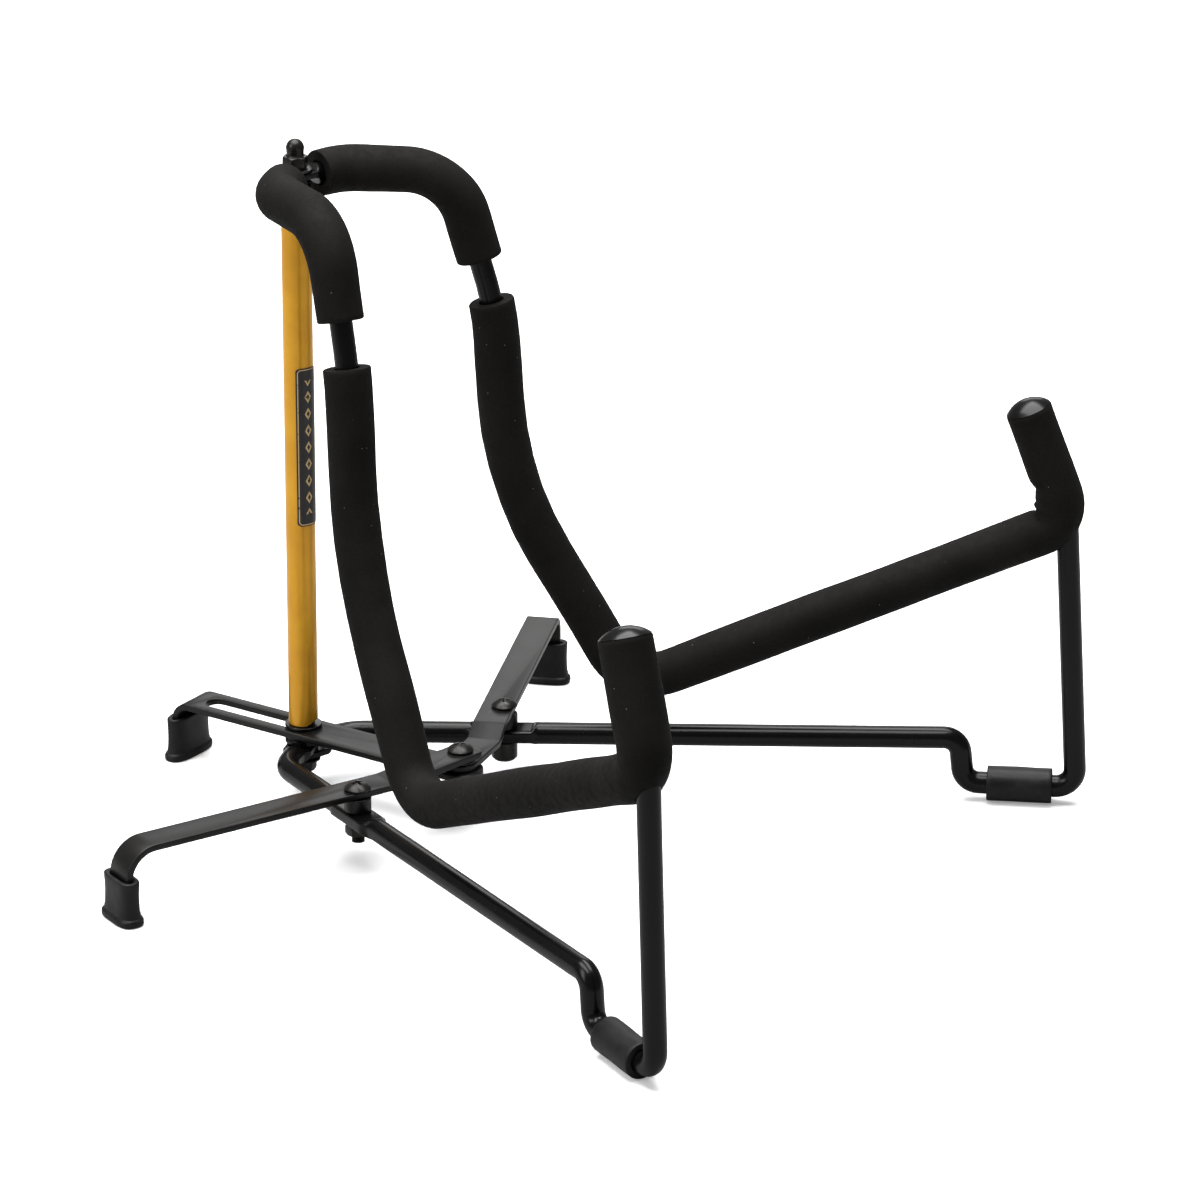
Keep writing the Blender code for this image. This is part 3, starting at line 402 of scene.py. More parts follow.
@dataclass(frozen=True)
class Label:
    """Plain printed label: a thin gold border and a column of gold lozenges, on dark film."""

    film: Colour = (0.014, 0.012, 0.014)
    gold: Colour = (0.62, 0.44, 0.20)
    half_width: float = 0.00545
    half_height: float = 0.03675
    corner: float = 0.0016
    inset: float = 0.0007
    line: float = 0.00016
    pitch: float = 0.0078
    mark_width: float = 0.0018
    mark_height: float = 0.0030

    def build(self, name: str) -> Graph:
        """Return the graph of this finish; the UV map holds arc length and height.

        Args:
            name: The material's name.

        Returns:
            The graph, with its shader fed.
        """
        graph = Graph(name)
        flat = graph.node("ShaderNodeUVMap", {"uv_map": LABEL_MAP}, {})
        across = graph.node("ShaderNodeSeparateXYZ", {}, {"Vector": flat}, "X") / LABEL_UNIT
        along = graph.node("ShaderNodeSeparateXYZ", {}, {"Vector": flat}, "Y") / LABEL_UNIT
        edge_x = abs(across) - (self.half_width - self.inset - self.corner)
        edge_y = abs(along) - (self.half_height - self.inset - self.corner)
        out_x, out_y = edge_x.larger(0.0), edge_y.larger(0.0)
        distance = (out_x * out_x + out_y * out_y).root() + edge_x.larger(edge_y).smaller(0.0) - self.corner
        border = 1.0 - abs(distance).ramp(self.line, self.line * 1.8)
        mark = abs(across) / self.mark_width + abs(along.wrapped(self.pitch)) / self.mark_height
        inside = abs(along) < self.half_height - self.pitch * 0.72
        lozenge = (1.0 - mark.ramp(0.90, 1.0)) * inside
        hollow = 1.0 - (1.0 - mark.ramp(0.42, 0.52)) * inside
        ink = border.larger(lozenge * hollow)
        wear = graph.noise(900.0, 3.0).ramp(0.25, 0.45)
        graph.surface(Base_Color=graph.mix(ink * wear, self.film, self.gold))
        graph.surface(Roughness=0.38 + graph.noise(300.0) * 0.12, Metallic=ink * 0.35)
        graph.surface(Specular_IOR_Level=0.5)
        graph.bump(graph.noise(1500.0, 2.0) + ink * 0.4, 0.06, 0.0003)
        return graph


@dataclass(frozen=True)
class Floor:
    """Pale studio floor with a barely visible mottle, which throws little light back on the stand."""

    colour: Colour = (0.90, 0.90, 0.90)
    shade: Colour = (0.88, 0.88, 0.885)
    bounce: Colour = (0.34, 0.34, 0.34)
    lift: float = 0.30

    def build(self, name: str) -> Graph:
        """Return the graph of this finish.

        Args:
            name: The material's name.

        Returns:
            The graph, with its shader fed.
        """
        graph = Graph(name)
        pale = graph.mix(graph.noise(3.0), self.shade, self.colour)
        seen = graph.node("ShaderNodeLightPath", {}, {}, "Is Camera Ray")
        graph.surface(Base_Color=graph.mix(seen, self.bounce, pale), Emission_Strength=self.lift)
        graph.surface(Emission_Color=graph.mix(seen, (0.0, 0.0, 0.0), pale))
        graph.surface(Roughness=0.6 + graph.noise(20.0) * 0.1, Specular_IOR_Level=0.2)
        return graph


def make_finishes() -> dict[Finish, bpy.types.Material]:
    """Return one material for each finish.

    Returns:
        The materials, by finish.
    """
    recipes = {
        Finish.GOLD: Coat(
            colour=(0.74, 0.37, 0.022),
            deep=(0.64, 0.30, 0.016),
            roughness=0.30,
            peel_scale=900.0,
            coat=0.15,
            metallic=0.40,
            rub=0.05,
            specular=0.3,
        ),
        Finish.ENAMEL: Coat(
            colour=(0.0026, 0.0025, 0.0025),
            deep=(0.0018, 0.0017, 0.0017),
            roughness=0.24,
            peel_scale=1100.0,
            specular=0.20,
        ),
        Finish.SATIN: Coat(
            colour=(0.0056, 0.0052, 0.0048),
            deep=(0.0034, 0.0031, 0.0029),
            roughness=0.34,
            peel=0.09,
            peel_scale=2200.0,
            specular=0.26,
        ),
        Finish.OXIDE: Oxide(),
        Finish.FOAM: FoamSkin(),
        Finish.RUBBER: Rubber(),
        Finish.PLASTIC: Coat(
            colour=(0.0034, 0.0034, 0.0036),
            deep=(0.0024, 0.0024, 0.0026),
            roughness=0.24,
            peel=0.03,
            peel_scale=700.0,
            specular=0.22,
        ),
        Finish.BADGE: Label(),
    }
    return {finish: recipe.build(finish.value).material for finish, recipe in recipes.items()}


# ---------------------------------------------------------------- mesh making


def loft(rings: Sequence[Sequence[Vector]], closed: bool = False) -> bpy.types.Mesh:
    """Return a mesh through rings of equal count.

    Args:
        rings: Places of each ring, in the same order round.
        closed: Whether the last ring joins the first, in place of end caps.

    Returns:
        A closed mesh with its faces out.
    """
    work = bmesh.new()
    made = [[work.verts.new(place) for place in ring] for ring in rings]
    pairs = list(zip(made, made[1:]))
    if closed:
        pairs.append((made[-1], made[0]))
    for one, two in pairs:
        for index in range(len(one)):
            after = (index + 1) % len(one)
            work.faces.new((one[index], one[after], two[after], two[index]))
    if not closed:
        work.faces.new(made[0][::-1])
        work.faces.new(made[-1])
    bmesh.ops.remove_doubles(work, verts=work.verts, dist=HAIR)
    bmesh.ops.recalc_face_normals(work, faces=work.faces)
    mesh = bpy.data.meshes.new("loft")
    work.to_mesh(mesh)
    work.free()
    return mesh


def evaluated(mesh: bpy.types.Mesh, *modifiers: tuple[str, dict[str, object]]) -> bpy.types.Mesh:
    """Return a mesh with modifiers applied to it.

    Args:
        mesh: The mesh, which is used up.
        modifiers: Type and settings of each modifier, in order.

    Returns:
        The new mesh.
    """
    blank = bpy.data.objects.new("blank", mesh)
    bpy.context.scene.collection.objects.link(blank)
    for kind, settings in modifiers:
        modifier = blank.modifiers.new(kind.lower(), kind)
        for name, value in settings.items():
            setattr(modifier, name, value)
    graph = bpy.context.evaluated_depsgraph_get()
    result = bpy.data.meshes.new_from_object(blank.evaluated_get(graph))
    bpy.data.objects.remove(blank)
    return result


def carve(mesh: bpy.types.Mesh, tool: bpy.types.Mesh, operation: str = "DIFFERENCE") -> bpy.types.Mesh:
    """Return a mesh after a Boolean with another; both are used up.

    Args:
        mesh: The piece.
        tool: The other mesh.
        operation: DIFFERENCE, UNION or INTERSECT.

    Returns:
        The new mesh.
    """
    cutter = bpy.data.objects.new("cutter", tool)
    bpy.context.scene.collection.objects.link(cutter)
    result = evaluated(mesh, ("BOOLEAN", {"operation": operation, "object": cutter, "solver": "EXACT"}))
    bpy.data.objects.remove(cutter)
    return result


def soften(mesh: bpy.types.Mesh, width: float, segments: int = 3, angle: float = 40.0) -> bpy.types.Mesh:
    """Return a mesh with its sharp edges rounded.

    Args:
        mesh: The piece, which is used up.
        width: How far each edge is cut back.
        segments: Steps across an edge.
        angle: Edges flatter than this are left, in degrees.

    Returns:
        The new mesh.
    """
    settings = {
        "width": width,
        "segments": segments,
        "limit_method": "ANGLE",
        "angle_limit": math.radians(angle),
        "use_clamp_overlap": True,
        "miter_outer": "MITER_ARC",
    }
    return evaluated(mesh, ("BEVEL", settings))


def rounded(corners: Sequence[Corner], step: float = ARC_STEP) -> list[Vector]:
    """Return points along a path whose corners are turned into arcs.

    Args:
        corners: Place and bend radius of each corner; the first and last are ends.
        step: Largest turn between two points of an arc.

    Returns:
        The points.
    """
    points = [corners[0][0].copy()]
    for (before, _), (corner, radius), (after, _) in zip(corners, corners[1:], corners[2:]):
        inward, outward = (before - corner), (after - corner)
        room = 0.49 * min(inward.length, outward.length)
        inward.normalize()
        outward.normalize()
        turn = math.pi - inward.angle(outward)
        if radius <= 0 or turn < 1e-4:
            points.append(corner.copy())
            continue
        reach = min(radius * math.tan(turn / 2), room)
        bend = reach / math.tan(turn / 2)
        centre = corner + (inward + outward).normalized() * bend / math.cos(turn / 2)
        start = corner + inward * reach - centre
        axis = (-inward).cross(outward).normalized()
        count = max(2, math.ceil(turn / step))
        for index in range(count + 1):
            points.append(centre + Matrix.Rotation(turn * index / count, 3, axis) @ start)
    points.append(corners[-1][0].copy())
    return points


def stretch_lengths(points: Sequence[Vector]) -> list[float]:
    """Return the length along a path at each of its points.

    Args:
        points: The points along it.

    Returns:
        One length for each point.
    """
    lengths = [0.0]
    for one, two in zip(points, points[1:]):
        lengths.append(lengths[-1] + (two - one).length)
    return lengths


class Route:
    """A smooth path that can be sampled by length."""

    def __init__(self, points: Sequence[Vector]) -> None:
        """Measure a path.

        Args:
            points: The points along it.
        """
        kept = [points[0]]
        for point in points[1:]:
            if (point - kept[-1]).length > HAIR:
                kept.append(point)
        self.points = kept
        self.lengths = stretch_lengths(kept)
        self.total = self.lengths[-1]

    def at(self, length: float) -> Vector:
        """Return the place at a length, run on straight past either end.

        Args:
            length: Distance from the start.

        Returns:
            The place.
        """
        if length <= 0.0:
            return self.points[0] + (self.points[0] - self.points[1]).normalized() * -length
        if length >= self.total:
            ahead = (self.points[-1] - self.points[-2]).normalized()
            return self.points[-1] + ahead * (length - self.total)
        low, high = 0, len(self.lengths) - 1
        while high - low > 1:
            middle = (low + high) // 2
            low, high = (middle, high) if self.lengths[middle] <= length else (low, middle)
        share = (length - self.lengths[low]) / (self.lengths[high] - self.lengths[low])
        return self.points[low].lerp(self.points[high], share)

    def sampled(self, start: float, end: float, step: float, extra: Iterable[float] = ()) -> list[float]:
        """Return lengths at even steps between two, with some more that matter.

        Args:
            start: First length.
            end: Last length.
            step: Distance between two.
            extra: Lengths that are added.

        Returns:
            The lengths, in order.
        """
        count = max(1, round((end - start) / step))
        wanted = sorted({start + (end - start) * index / count for index in range(count + 1)} | set(extra))
        kept = [start]
        for length in wanted:
            if kept[-1] + step * 0.08 < length < end - step * 0.08:
                kept.append(length)
        return [*kept, end]

    def frames(self, lengths: Sequence[float]) -> list[tuple[Vector, Vector, Vector]]:
        """Return the place, sideways and upward directions at each length, with no twist between them.

        Args:
            lengths: Distances from the start, in order.

        Returns:
            The three vectors of each length.
        """
        found = []
        lift = UP.copy()
        probe = 0.0012
        for length in lengths:
            along = (self.at(length + probe) - self.at(length - probe)).normalized()
            lift = (lift - along * lift.dot(along)).normalized()
            found.append((self.at(length), along.cross(lift), lift.copy()))
        return found

    def nearest(self, place: Vector) -> float:
        """Return the length where the path passes nearest a place, seen from above.

        Args:
            place: The place.

        Returns:
            Distance from the start.
        """
        steps = 2000
        lengths = (self.total * index / steps for index in range(steps + 1))
        return min(lengths, key=lambda length: (self.at(length).xy - place.xy).length)

    def length_at_height(self, height: float) -> float:
        """Return the length where a falling path first reaches a height.

        Args:
            height: The height.

        Returns:
            Distance from the start, or the whole length if the path stays above it.
        """
        for index, (one, two) in enumerate(zip(self.points, self.points[1:])):
            if one.z > height >= two.z:
                share = (one.z - height) / (one.z - two.z)
                return self.lengths[index] + (self.lengths[index + 1] - self.lengths[index]) * share
        return self.total


def smooth(value: float) -> float:
    """Ease a value between 0 and 1."""
    value = min(max(value, 0.0), 1.0)
    return value * value * (3 - 2 * value)


def swept(route: Route, lengths: Sequence[float], section: Section, sides: int = ROUND_SIDES) -> list[Ring]:
    """Return rings along a route.

    Args:
        route: The path.
        lengths: Where the rings stand.
        section: Half width, half thickness, squareness and lift at a length.
        sides: Points round each ring.

    Returns:
        The rings.
    """
    rings = []
    for length, (place, across, lift) in zip(lengths, route.frames(lengths)):
        half_width, half_thick, square, shift = section(length)
        ring = []
        for step in range(sides):
            angle = math.tau * step / sides
            x = math.copysign(abs(math.cos(angle)) ** (2 / square), math.cos(angle)) * half_width
            z = math.copysign(abs(math.sin(angle)) ** (2 / square), math.sin(angle)) * half_thick
            ring.append(place + across * x + lift * (z + shift))
        rings.append(ring)
    return rings


def turned(profile: Profile, edge: float = 0.0, steps: int = ROUND_SIDES) -> bpy.types.Mesh:
    """Return a turned piece about the Z axis.

    Args:
        profile: Radius and height of each corner; it closes on itself unless it starts on the axis.
        edge: Radius of its rounded corners.
        steps: Points round it.

    Returns:
        The mesh.
    """
    corners = [Vector((radius, 0.0, height)) for radius, height in profile]
    solid = profile[0][0] < HAIR
    if edge > 0 and solid:
        inner = [(corner, edge) for corner in corners[1:-1]]
        corners = rounded([(corners[0], 0.0), *inner, (corners[-1], 0.0)], PROFILE_STEP)
    elif edge > 0:
        start = corners[0].lerp(corners[-1], 0.5)
        inner = [(corner, edge) for corner in corners]
        corners = rounded([(start, 0.0), *inner, (start, 0.0)], PROFILE_STEP)[:-1]
    rings = []
    for corner in corners:
        angles = (math.tau * step / steps for step in range(steps))
        rings.append([Vector((corner.x * math.cos(a), corner.x * math.sin(a), corner.z)) for a in angles])
    return loft(rings, closed=not solid)


def ring_profile(inner: float, outer: float, foot: float, head: float) -> Profile:
    """Return the profile of a plain ring."""
    return [(inner, head), (outer, head), (outer, foot), (inner, foot)]


def pin(radius: float, foot: float, head: float) -> bpy.types.Mesh:
    """Return a plain upright pin, the cutter of a round hole."""
    return turned([(0.0, head), (radius, head), (radius, foot), (0.0, foot)])


def moved(mesh: bpy.types.Mesh, x: float, y: float) -> bpy.types.Mesh:
    """Return a mesh after moving it level."""
    mesh.transform(Matrix.Translation((x, y, 0.0)))
    return mesh


def prism(across: float, foot: float, head: float, chamfer: float, turn: float = 0.0) -> bpy.types.Mesh:
    """Return a hexagonal nut blank, its corners cut back by a cone at both ends.

    Args:
        across: Width between opposite flats.
        foot: Lower height.
        head: Upper height.
        chamfer: Height of the cone at the corners.
        turn: Turn about the axis.

    Returns:
        The mesh.
    """
    corner = across / math.sqrt(3)
    rings = []
    for height in (foot, head):
        angles = (turn + math.tau * step / 6 for step in range(6))
        rings.append([Vector((corner * math.cos(a), corner * math.sin(a), height)) for a in angles])
    flat = across / 2 - 0.0001
    wide = corner + 0.0002
    upper = [(0.0, head), (flat, head), (wide, head - chamfer)]
    cone = turned([*upper, (wide, foot + chamfer), (flat, foot), (0.0, foot)])
    return soften(carve(loft(rings), cone, "INTERSECT"), 0.00012, 2)


def plate(outlines: Sequence[Sequence[Vector]], thick: float, place: Matrix) -> bpy.types.Mesh:
    """Return a flat plate from closed outlines in XY.

    Args:
        outlines: The outer outline, then its holes.
        thick: Its thickness, half on each side of its plane.
        place: Where its plane goes.

    Returns:
        The mesh.
    """
    curve = bpy.data.curves.new("plate", "CURVE")
    curve.dimensions = "2D"
    curve.fill_mode = "BOTH"
    curve.extrude = thick / 2
    for outline in outlines:
        spline = curve.splines.new("POLY")
        spline.points.add(len(outline) - 1)
        for target, point in zip(spline.points, outline):
            target.co = (point[0], point[1], 0.0, 1.0)
        spline.use_cyclic_u = True
    blank = bpy.data.objects.new("plate", curve)
    bpy.context.scene.collection.objects.link(blank)
    mesh = bpy.data.meshes.new_from_object(blank.evaluated_get(bpy.context.evaluated_depsgraph_get()))
    bpy.data.objects.remove(blank)
    work = bmesh.new()
    work.from_mesh(mesh)
    bmesh.ops.remove_doubles(work, verts=work.verts, dist=HAIR)
    work.to_mesh(mesh)
    work.free()
    mesh.transform(place)
    return mesh


def arc(centre: Vector, radius: float, start: float, end: float) -> list[Vector]:
    """Return points on an arc in a plane, from one angle to another.

    Args:
        centre: Its centre.
        radius: Its radius.
        start: First angle.
        end: Last angle.

    Returns:
        The points.
    """
    count = max(2, math.ceil(abs(end - start) / ARC_STEP))
    angles = (start + (end - start) * index / count for index in range(count + 1))
    return [Vector((centre.x + radius * math.cos(a), centre.y + radius * math.sin(a))) for a in angles]


def round_slot(centre: Vector, half: float, radius: float, heading: float = 0.0) -> list[Vector]:
    """Return the outline of a slot with round ends, or of a hole where half is 0.

    Args:
        centre: Its middle.
        half: Half the distance between the centres of its ends.
        radius: Radius of its ends.
        heading: Direction of its length.

    Returns:
        The outline.
    """
    along = Vector((math.cos(heading), math.sin(heading))) * half
    quarter = math.pi / 2
    far = arc(centre + along, radius, heading - quarter, heading + quarter)
    near = arc(centre - along, radius, heading + quarter, heading + 3 * quarter)
    return far + near if half > 0 else far[:-1] + near[:-1]


class Workshop:
    """Adds finished pieces to the scene and reports them."""

    def __init__(self) -> None:
        """Make the finishes and find the post axis in the CAD model."""
        self.finishes = make_finishes()
        low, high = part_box("post_tube")
        self.post = (low + high) / 2
        self.count = 0

    def add(
        self, name: str, mesh: bpy.types.Mesh, finish: Finish, body: str, node: str, angle: float = 38.0
    ) -> bpy.types.Object:
        """Add one piece.

        Args:
            name: Its name.
            mesh: Its mesh, modelled about the post axis.
            finish: What it is made of.
            body: The CAD body that it rides on.
            node: The CAD node that it stands for.
            angle: Edges sharper than this stay sharp, in degrees.

        Returns:
            The new object.
        """
        mesh.transform(Matrix.Translation((self.post.x, self.post.y, 0.0)))
        mesh.materials.clear()
        mesh.materials.append(self.finishes[finish])
        mesh.shade_smooth()
        mesh.set_sharp_from_angle(angle=math.radians(angle))
        piece = bpy.data.objects.new(name, mesh)
        bpy.context.scene.collection.objects.link(piece)
        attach(piece, body)
        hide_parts(node)
        self.count += 1
        LOG.info("%s rides on %s: %d faces", name, body, len(mesh.polygons))
        return piece


# ---------------------------------------------------------------- the stand


class Side(Enum):
    """The two mirrored frames."""

    LEFT = -1
    RIGHT = 1

    @property
    def label(self) -> str:
        """Return the side as a word."""
        return self.name.lower()


@dataclass(frozen=True)
class Sizes:
    """Sizes that more than one sub-assembly uses."""

    spread: float = math.radians(27.0)
    frame_offset: float = 0.0187
    pivot_reach: float = 0.0885
    rod_radius: float = 0.005
    tie_radius: float = 0.0021
    bar_thick: float = 0.003
    brace_width: float = 0.0150
    slide_width: float = 0.0200
    slide_top: float = 0.0280
    brace_top: float = 0.0342
    cross_reach: float = 0.085365
    nut_across: float = 0.010
    nut_height: float = 0.0046
    washer: float = 0.0010
    tab_thick: float = 0.0034
    leg_run_rear: float = 0.0185
    leg_run_front: float = 0.0293
    riser_top: float = 0.2930
    elbow_reach: float = 0.018
    post_head: float = 0.2790
    flange: float = 0.0012
    stack_drop: float = 0.0118

    def place(self, side: Side, reach: float, height: float) -> Vector:
        """Return a place in a frame's plane.

        Args:
            side: Which frame.
            reach: How far along the frame from the post axis.
            height: Height over the floor.

        Returns:
            The place, about the post axis.
        """
        x = reach * math.sin(self.spread) + self.frame_offset * math.cos(self.spread)
        y = self.frame_offset * math.sin(self.spread) - reach * math.cos(self.spread)
        return Vector((side.value * x, y, height))

    def tab_height(self, index: int, foot: float) -> float:
        """Return the middle height of a rod's tab in a stack of two."""
        return foot + GAP + self.tab_thick / 2 + index * (self.tab_thick + GAP)

    @property
    def upper_stack(self) -> float:
        """Return the foot of the stack of tabs on the post's head."""
        return self.post_head + self.flange + GAP

    @property
    def lower_stack(self) -> float:
        """Return the foot of the stack of tabs under the post."""
        return self.slide_top - self.bar_thick - self.stack_drop


@dataclass
class Post:
    """The upright: gold tube with its plugs, collar, washers, nuts, tie rod and label."""

    sizes: Sizes = field(default_factory=Sizes)
    radius: float = 0.0066
    bore: float = 0.0054
    foot: float = 0.0300
    flange_radius: float = 0.0083
    plug_depth: float = 0.010
    dome_radius: float = 0.0040
    dome_base: float = 0.0052
    dome_height: float = 0.0128
    washer_radius: float = 0.0075
    badge_foot: float = 0.1260
    badge_head: float = 0.1995
    badge_thick: float = 0.00025
    badge_half_angle: float = math.radians(47.0)
    badge_facing: float = math.radians(252.0)
    badge_corner: float = 0.0016
    badge_columns: int = 40
    badge_rows: int = 120

    def build(self, shop: Workshop) -> None:
        """Add the pieces of the post.

        Args:
            shop: Takes the pieces.
        """
        self._tube(shop)
        self._plugs(shop)
        self._foot_stack(shop)
        self._head_stack(shop)
        self._badge(shop)

    def _tube(self, shop: Workshop) -> None:
        """Add the gold tube; its foot is cut on a slight slant towards the front.

        Args:
            shop: Takes the pieces.
        """
        profile = ring_profile(self.bore, self.radius, self.foot, self.sizes.post_head)
        mesh = turned(profile, 0.00025, 64)
        for vertex in mesh.vertices:
            if vertex.co.z < self.foot + 0.001:
                facing = Vector((0.55, -0.83)).dot(vertex.co.xy) / self.radius
                vertex.co.z += 0.0022 * smooth((facing - 0.1) / 0.9)
        shop.add("post.tube", mesh, Finish.GOLD, "post", "post_tube")

    def _plugs(self, shop: Workshop) -> None:
        """Add the black plugs in both ends of the tube.

        Args:
            shop: Takes the pieces.
        """
        bore, plug = self.sizes.tie_radius + GAP, self.bore - GAP
        foot, head = self.foot - GAP, self.sizes.post_head + GAP
        lower = [(bore, foot + self.plug_depth), (plug, foot + self.plug_depth), (plug, foot)]
        lower += [(self.flange_radius, foot), (self.flange_radius, foot - self.sizes.flange)]
        lower += [(bore, foot - self.sizes.flange)]
        shop.add("post.foot_bush", turned(lower, 0.0003), Finish.PLASTIC, "post", "post_foot_bush")
        top = head + self.sizes.flange
        upper = [(bore, top), (self.radius, top), (self.radius, head), (plug, head)]
        upper += [(plug, head - self.plug_depth), (bore, head - self.plug_depth)]
        shop.add("post.head_bush", turned(upper, 0.0003), Finish.PLASTIC, "post", "post_head_bush")

    def _foot_stack(self, shop: Workshop) -> None:
        """Add the grooved collar, washer and nut under the post.

        Args:
            shop: Takes the pieces.
        """
        sizes = self.sizes
        bore = sizes.tie_radius + GAP
        head = sizes.slide_top - sizes.bar_thick - GAP
        foot = sizes.tab_height(1, sizes.lower_stack) + sizes.tab_thick / 2 + GAP
        outer = self.flange_radius
        groove = head - (head - foot) * 0.38
        profile = [(bore, head), (outer, head), (outer, groove + 0.0003), (outer - 0.0006, groove)]
        profile += [(outer, groove - 0.0003), (outer, foot), (bore, foot)]
        shop.add("post.collar", turned(profile, 0.00025), Finish.PLASTIC, "post", "post_collar")
        top = sizes.tab_height(0, sizes.lower_stack) - sizes.tab_thick / 2 - 2 * GAP - sizes.washer
        washer = ring_profile(bore, self.washer_radius, top + GAP, top + GAP + sizes.washer)
        shop.add("post.base_washer", turned(washer, 0.0002), Finish.OXIDE, "post", "base_washer")
        nut = prism(sizes.nut_across, top - sizes.nut_height, top, 0.0009, math.radians(12.0))
        hole = pin(bore, top - sizes.nut_height - GAP, top + GAP)
        shop.add("post.base_nut", carve(nut, hole), Finish.OXIDE, "post", "base_nut")
        self._tie(shop, top - sizes.nut_height - 0.003)

    def _tie(self, shop: Workshop, foot: float) -> None:
        """Add the tie rod, threaded where it shows under the nut.

        Args:
            shop: Takes the pieces.
            foot: Height of its lower end.
        """
        sizes = self.sizes
        head = sizes.tab_height(1, sizes.upper_stack) + sizes.tab_thick / 2 + 2 * GAP + sizes.washer
        head += self.dome_height - self.dome_radius
        radius, pitch = sizes.tie_radius, 0.0008
        profile = [(0.0, head), (radius, head)]
        height = foot + 0.0042
        while height > foot + pitch / 2:
            profile += [(radius, height), (radius - 0.0003, height - pitch / 2)]
            height -= pitch
        profile += [(radius * 0.8, foot), (0.0, foot)]
        shop.add("post.tie_rod", turned(profile, 0.0, 32), Finish.OXIDE, "post", "tie_rod")

    def _head_stack(self, shop: Workshop) -> None:
        """Add the washer and the dome nut on the post's head.

        Args:
            shop: Takes the pieces.
        """
        sizes = self.sizes
        bore = sizes.tie_radius + GAP
        top = sizes.tab_height(1, sizes.upper_stack) + sizes.tab_thick / 2
        washer = ring_profile(bore, self.washer_radius, top + GAP, top + GAP + sizes.washer)
        shop.add("post.head_washer", turned(washer, 0.0002), Finish.OXIDE, "post", "head_washer")
        seat = top + 2 * GAP + sizes.washer
        hexagon = prism(sizes.nut_across, seat, seat + self.dome_base, 0.0008, math.radians(20.0))
        shoulder = seat + self.dome_height - self.dome_radius
        profile = [(0.0, seat + self.dome_height)]
        for angle in range(10, 91, 8):
            turn = math.radians(angle)
            rise = self.dome_radius * math.cos(turn)
            profile.append((self.dome_radius * math.sin(turn), shoulder + rise))
        base = seat + self.dome_base
        profile += [(self.dome_radius - 0.0003, base + 0.0006), (self.dome_radius + 0.0003, base - 0.0003)]
        profile += [(self.dome_radius, seat + GAP), (0.0, seat + GAP)]
        nut = carve(hexagon, turned(profile), "UNION")
        hole = pin(bore, seat - GAP, shoulder)
        shop.add("post.dome_nut", carve(nut, hole), Finish.OXIDE, "post", "dome_nut", 32.0)

    def _badge_sheet(
        self, work: bmesh.types.BMesh, radius: float, flat: dict[bmesh.types.BMVert, tuple[float, float]]
    ) -> list[list[bmesh.types.BMVert]]:
        """Add one curved face of the label as rows of points.

        Args:
            work: The mesh that takes the points.
            radius: Distance of the face from the post axis.
            flat: Takes each point's flat coordinates.

        Returns:
            The rows, from the foot up.
        """
        outer, corner = self.radius + GAP / 3 + self.badge_thick, self.badge_corner
        middle = (self.badge_foot + self.badge_head) / 2
        half_height = (self.badge_head - self.badge_foot) / 2
        half_width = self.badge_half_angle * outer
        grid = []
        for row in range(self.badge_rows + 1):
            along = half_height * (2 * row / self.badge_rows - 1)
            short = max(abs(along) - (half_height - corner), 0.0)
            width = half_width - corner + math.sqrt(max(corner**2 - short**2, 0.0))
            line = []
            for column in range(self.badge_columns + 1):
                across = width * (2 * column / self.badge_columns - 1)
                angle = self.badge_facing + across / outer
                vertex = work.verts.new((radius * math.cos(angle), radius * math.sin(angle), middle + along))
                flat[vertex] = (across * LABEL_UNIT, along * LABEL_UNIT)
                line.append(vertex)
            grid.append(line)
        return grid

    def _badge(self, shop: Workshop) -> None:
        """Add the curved label with round corners, which carries its own flat coordinates.

        Args:
            shop: Takes the pieces.
        """
        inner = self.radius + GAP / 3
        work = bmesh.new()
        layer = work.loops.layers.uv.new(LABEL_MAP)
        flat: dict[bmesh.types.BMVert, tuple[float, float]] = {}
        grids = [self._badge_sheet(work, radius, flat) for radius in (inner, inner + self.badge_thick)]
        for grid in grids:
            for low, high in zip(grid, grid[1:]):
                for column in range(self.badge_columns):
                    work.faces.new((low[column], low[column + 1], high[column + 1], high[column]))
        rims = []
        for grid in grids:
            left = [line[0] for line in reversed(grid)]
            right = [line[-1] for line in grid]
            rims.append([*grid[0], *right[1:], *grid[-1][-2::-1], *left[1:-1]])
        for index in range(len(rims[0])):
            after = (index + 1) % len(rims[0])
            work.faces.new((rims[0][index], rims[0][after], rims[1][after], rims[1][index]))
        for face in work.faces:
            for loop in face.loops:
                loop[layer].uv = flat[loop.vert]
        bmesh.ops.recalc_face_normals(work, faces=work.faces)
        mesh = bpy.data.meshes.new("label")
        work.to_mesh(mesh)
        work.free()
        shop.add("post.badge", mesh, Finish.BADGE, "post", "post_badge")


@dataclass
class FoamCut:
    """One foam sleeve: its ends along its rod, the folds inside its bends, and where it grows thicker."""

    name: str
    start: float
    end: float
    seed: float
    folds: tuple[Triple, ...] = ()
    swell_start: float = 0.0
    swell: float = 0.0


